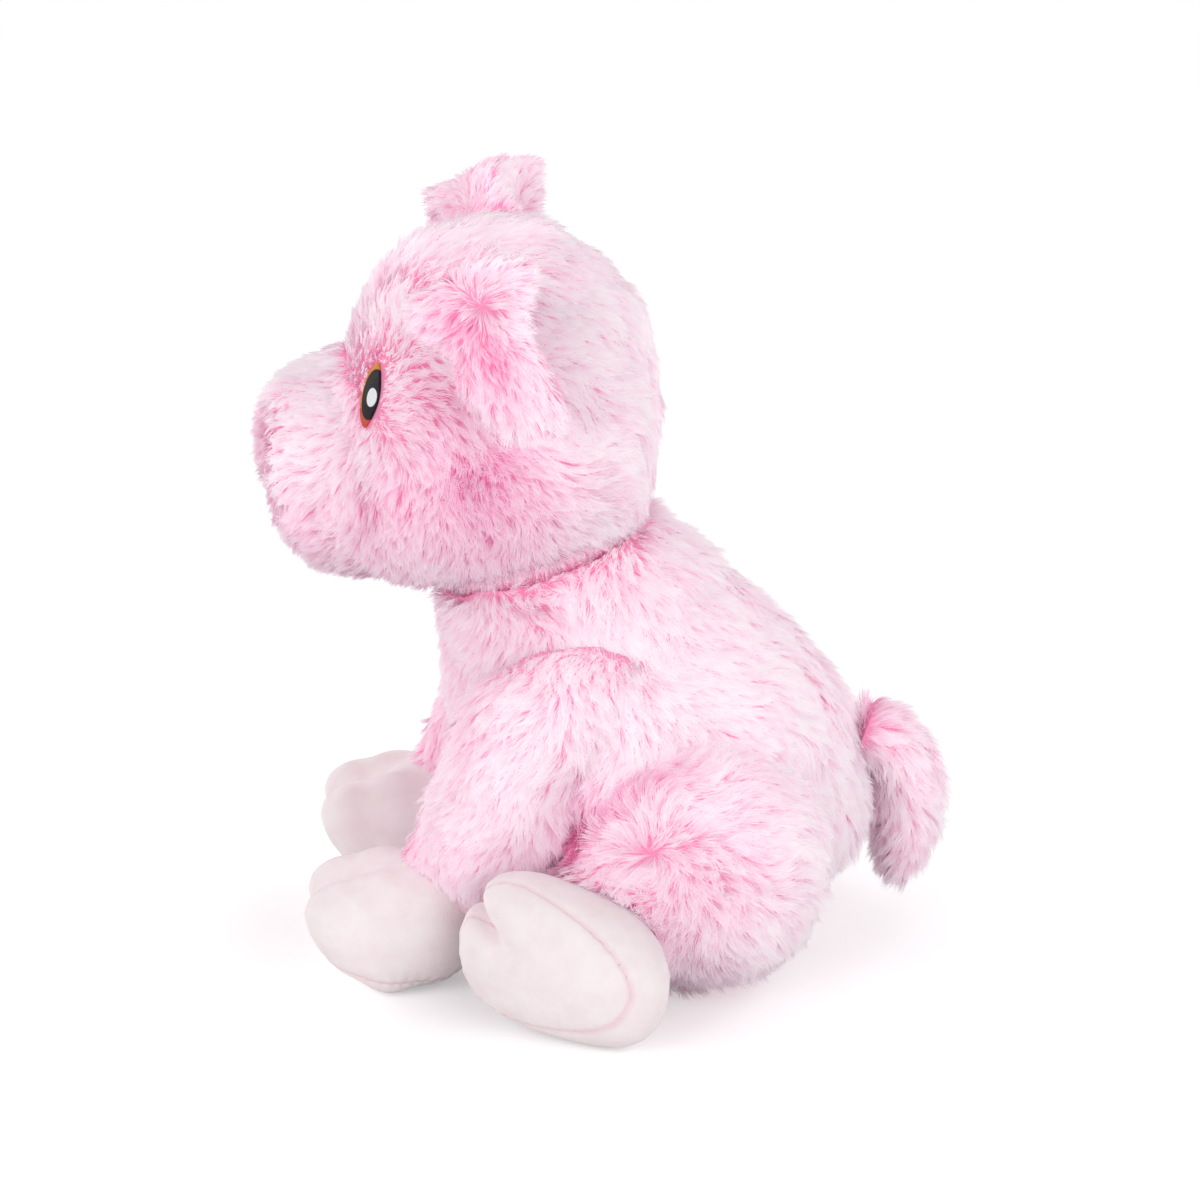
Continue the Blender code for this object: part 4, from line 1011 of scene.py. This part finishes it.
for side in ("left", "right"):
    for leg, strokes, seed in (("front_leg", FRONT_LEG_STROKES, 31), ("hind_leg", HIND_LEG_STROKES, 43)):
        body = f"{leg}_{side}"
        hoof, hull = HOOVES[leg][side]

        def sculpt_leg(shape):
            """The two legs fill the fold between them, and what is in the hoof stays inside its velour."""
            for fill in LEG_FILLS[leg]:
                nudge(shape, *fill)
            low, high = hull[1:]
            for point in shape.verts:
                near_hoof = all(low[axis] < point.co[axis] < high[axis] for axis in range(3))
                if near_hoof and rise_over(point.co, hull)[0] < 0.3 * MM:
                    out, near, normal = rise_over(point.co, hoof)
                    if out > -SKIN_IN_HOOF:
                        point.co = near - normal * SKIN_IN_HOOF

        def leg_pile(roots, facing):
            """Leaves out what lies on the floor and what is inside the hoof."""
            kept = ~((roots[:, 2] < 8 * MM) & (facing[:, 2] < -0.85))
            for index in np.all((roots > hull[1]) & (roots < hull[2]), axis=1).nonzero()[0]:
                kept[index] &= min(rise_over(Vector(roots[index]), form)[0] for form in (hull, hoof)) > 0
            return kept

        def hoof_trim(places):
            """The pile is shorter where it ends over the hoof."""
            share = np.ones(len(places))
            near = (places > hoof[1] - HOOF_FRINGE) & (places < hoof[2] + HOOF_FRINGE)
            for index in np.all(near, axis=1).nonzero()[0]:
                clear = eased(rise_over(Vector(places[index]), hoof)[0], 0.0, HOOF_FRINGE)
                share[index] = SHORTEST_FRINGE[leg] + (1 - SHORTEST_FRINGE[leg]) * clear
            return share

        sleeve = stuffed_skin(f"{body}_backing", body, [f"{leg}_sleeve_{side}", f"{leg}_stuffing_{side}"],
                              sculpt=sculpt_leg, grid=1.3 * MM)
        grow_pile(f"{body}_pile", sleeve, body, strokes, seed, keep=leg_pile, trim=hoof_trim, out_of=(hoof,),
                  painted_shade_lines=FOLD_PAINTED_SHADE)


# Tail. A short tube of pile cloth that curls down behind.
# The last column is painted shade
TAIL_STROKES = (
    ((0, 85, 72), (0.0, 0.8, 0.2), 30, 0.9, 0.3),
    ((8, 104, 60), (0.2, 0.5, -0.8), 28, 1.0, 0.10),
    ((8, 108, 40), (0.1, 0.1, -1.0), 28, 1.0, 0.10),
    ((0, 100, 20), (0.0, -0.1, -1.0), 26, 1.0, 0.25),
    ((0, 90, 40), (0.0, -0.4, -0.9), 28, 1.0, 0.4),
)


def sculpt_tail(shape):
    """The tail is fuller on the side that lies against the rump."""
    nudge(shape, (0, 86, 44), (0, -3, 0), 14)
    nudge(shape, (0, 84, 66), (0, -2, 2), 9)


tail_skin = stuffed_skin("tail_backing", "tail", ["tail_cover", "tail_stuffing"], sculpt=sculpt_tail,
                         grid=1.0 * MM, rounding=12, depth=2.0 * MM)
grow_pile("tail_pile", tail_skin, "tail", TAIL_STROKES, 57)


# Ears. Each is two layers of pile cloth, pinched where it is sewn to the head and folded down, so
# that its front edge is tucked in halfway and the pile spreads from the pinch.
# The last column is painted shade
EAR_STROKES = (
    ((45, -35, 243), (-0.1, 0.4, 0.6), 22, 0.9, 0.0),
    ((58, -36, 233), (0.1, 0.4, 1.0), 22, 0.9, 0.06),
    ((60, -52, 230), (0.3, -1.0, -0.2), 24, 0.9, 0.12),
    ((66, -44, 222), (0.3, -0.8, -0.4), 32, 0.9, 0.55),
    ((68, -22, 222), (0.2, 0.9, -0.2), 24, 0.9, 0.16),
    ((70, -30, 205), (0.1, 0.1, -1.0), 30, 0.95, 0.45),
    ((69, -18, 200), (0.1, 0.5, -0.8), 26, 1.0, 0.26),
    ((66, -26, 190), (0.1, 0.2, -1.0), 24, 1.1, 0.26),
    ((55, -35, 212), (-0.3, -0.2, -0.9), 24, 0.8, 0.80),
)
# Painted shade: the pile is drawn deeper pink along the ear's pinch
EAR_CREASE = ((66, -40, 224), (67, -33, 219), (68, -30, 208))
EAR_PILE_LENGTH = 7 * MM


def sculpt_ear(shape):
    """Round corners, a full lobe, the pinch at the ear's middle and the tuck in its front edge."""
    nudge(shape, (44, -14, 240), (0, -4, -34), 12)
    nudge(shape, (45, -52, 238), (0, 4, -21), 12)
    nudge(shape, (42, -33, 243), (0, 0, 4), 9)
    nudge(shape, (66, -17, 222), (-3, -4, 0), 9)
    nudge(shape, (66, -19, 197), (-1, 9, -2), 13)
    nudge(shape, (66, -50, 213), (-1, 9, 0), 9)
    nudge(shape, (67, -33, 219), (-3.5, 0, 0), 7)


for side in ("left", "right"):
    body = f"ear_{side}"
    ear_skin = stuffed_skin(f"{body}_backing", body, [f"ear_outer_{side}", f"ear_lining_{side}"],
                            sculpt=sculpt_ear, grid=0.9 * MM, rounding=16, depth=1.2 * MM)
    grow_pile(f"{body}_pile", ear_skin, body, EAR_STROKES, 71, painted_shade_lines=((EAR_CREASE, 3.0, 0.5),),
              length=EAR_PILE_LENGTH)


# Studio. A matt white board, four large soft boxes round the toy, and a little even light from the
# room. The camera sees the board and the room as plain white.
LAMP_ELEVATION = 24.0
LAMP_REACH = 1.8
LAMP_SIZE = 1.2
LAMP_LEVELS = ((45, 0.375), (135, 0.38), (225, 0.33), (315, 0.34))
BOARD_REACH = 1.2
CAMERA_AZIMUTH = 90.0
CAMERA_ELEVATION = 20.0
CAMERA_REACH = 1.3
CAMERA_AIM = Vector((0.0, 0.0, 0.112))
SENSOR = 36.0
FOCAL_PIXELS = 4134.0
IMAGE_PIXELS = 1200.0
ROOM_LIGHT = 0.33
BOARD_LIFT = 0.32


def make_board():
    """Matt white board: pure white to the camera where it is lit, and it keeps the toy's shadow."""
    made = blank_material("matt_white_board")
    path = add_node(made, "ShaderNodeLightPath")
    lift = add_node(made, "ShaderNodeMath", {0: path.outputs["Is Camera Ray"], 1: BOARD_LIFT},
                    operation="MULTIPLY")
    shader = add_node(made, "ShaderNodeBsdfPrincipled", {
        "Base Color": linear("#f7f7f7"), "Roughness": 1.0, "Specular IOR Level": 0.0,
        "Emission Color": linear("#ffffff"), "Emission Strength": lift.outputs[0]})
    return close_material(made, shader)


board = bmesh.new()
bmesh.ops.create_grid(board, x_segments=1, y_segments=1, size=BOARD_REACH)
board_mesh = bpy.data.meshes.new("studio_floor")
board.to_mesh(board_mesh)
board.free()
floor = add_object("studio_floor", board_mesh)
board_mesh.materials.append(make_board())

world = bpy.data.worlds.new("soft_room")
bpy.context.scene.world = world
world.use_nodes = True
room = world.node_tree.nodes["Background"]
room.inputs["Color"].default_value = (1.0, 1.0, 1.0, 1.0)
path = add_node(world, "ShaderNodeLightPath")
seen = path.outputs["Is Camera Ray"]
for kind in ("Is Glossy Ray", "Is Transmission Ray"):
    seen = add_node(world, "ShaderNodeMath", {0: seen, 1: path.outputs[kind]}, operation="MAXIMUM").outputs[0]
strength = add_node(world, "ShaderNodeMapRange", {"Value": seen, "To Min": ROOM_LIGHT, "To Max": 1.0})
world.node_tree.links.new(strength.outputs[0], room.inputs["Strength"])


def toward(azimuth, elevation):
    """The direction from the toy to a place seen at an azimuth and elevation in degrees."""
    turn, rise = math.radians(azimuth), math.radians(elevation)
    return Vector((math.sin(turn) * math.cos(rise), -math.cos(turn) * math.cos(rise), math.sin(rise)))


for turn, level in LAMP_LEVELS:
    lamp = bpy.data.lights.new(f"soft_box_{turn}", "AREA")
    lamp.shape = "SQUARE"
    lamp.size = LAMP_SIZE
    lamp.energy = level * (math.pi * LAMP_REACH) ** 2
    soft_box = add_object(f"soft_box_{turn}", lamp)
    soft_box.location = CAMERA_AIM + toward(turn, LAMP_ELEVATION) * LAMP_REACH
    soft_box.rotation_euler = toward(turn, LAMP_ELEVATION).to_track_quat("Z", "Y").to_euler()

view_side = toward(CAMERA_AZIMUTH, CAMERA_ELEVATION)
lens = bpy.data.cameras.new("photo_camera")
lens.sensor_width = SENSOR
lens.lens = SENSOR * FOCAL_PIXELS / IMAGE_PIXELS
camera = add_object("photo_camera", lens)
camera.location = CAMERA_AIM + view_side * CAMERA_REACH
camera.rotation_euler = view_side.to_track_quat("Z", "Y").to_euler()
bpy.context.scene.camera = camera
bpy.context.scene.view_settings.view_transform = "Standard"
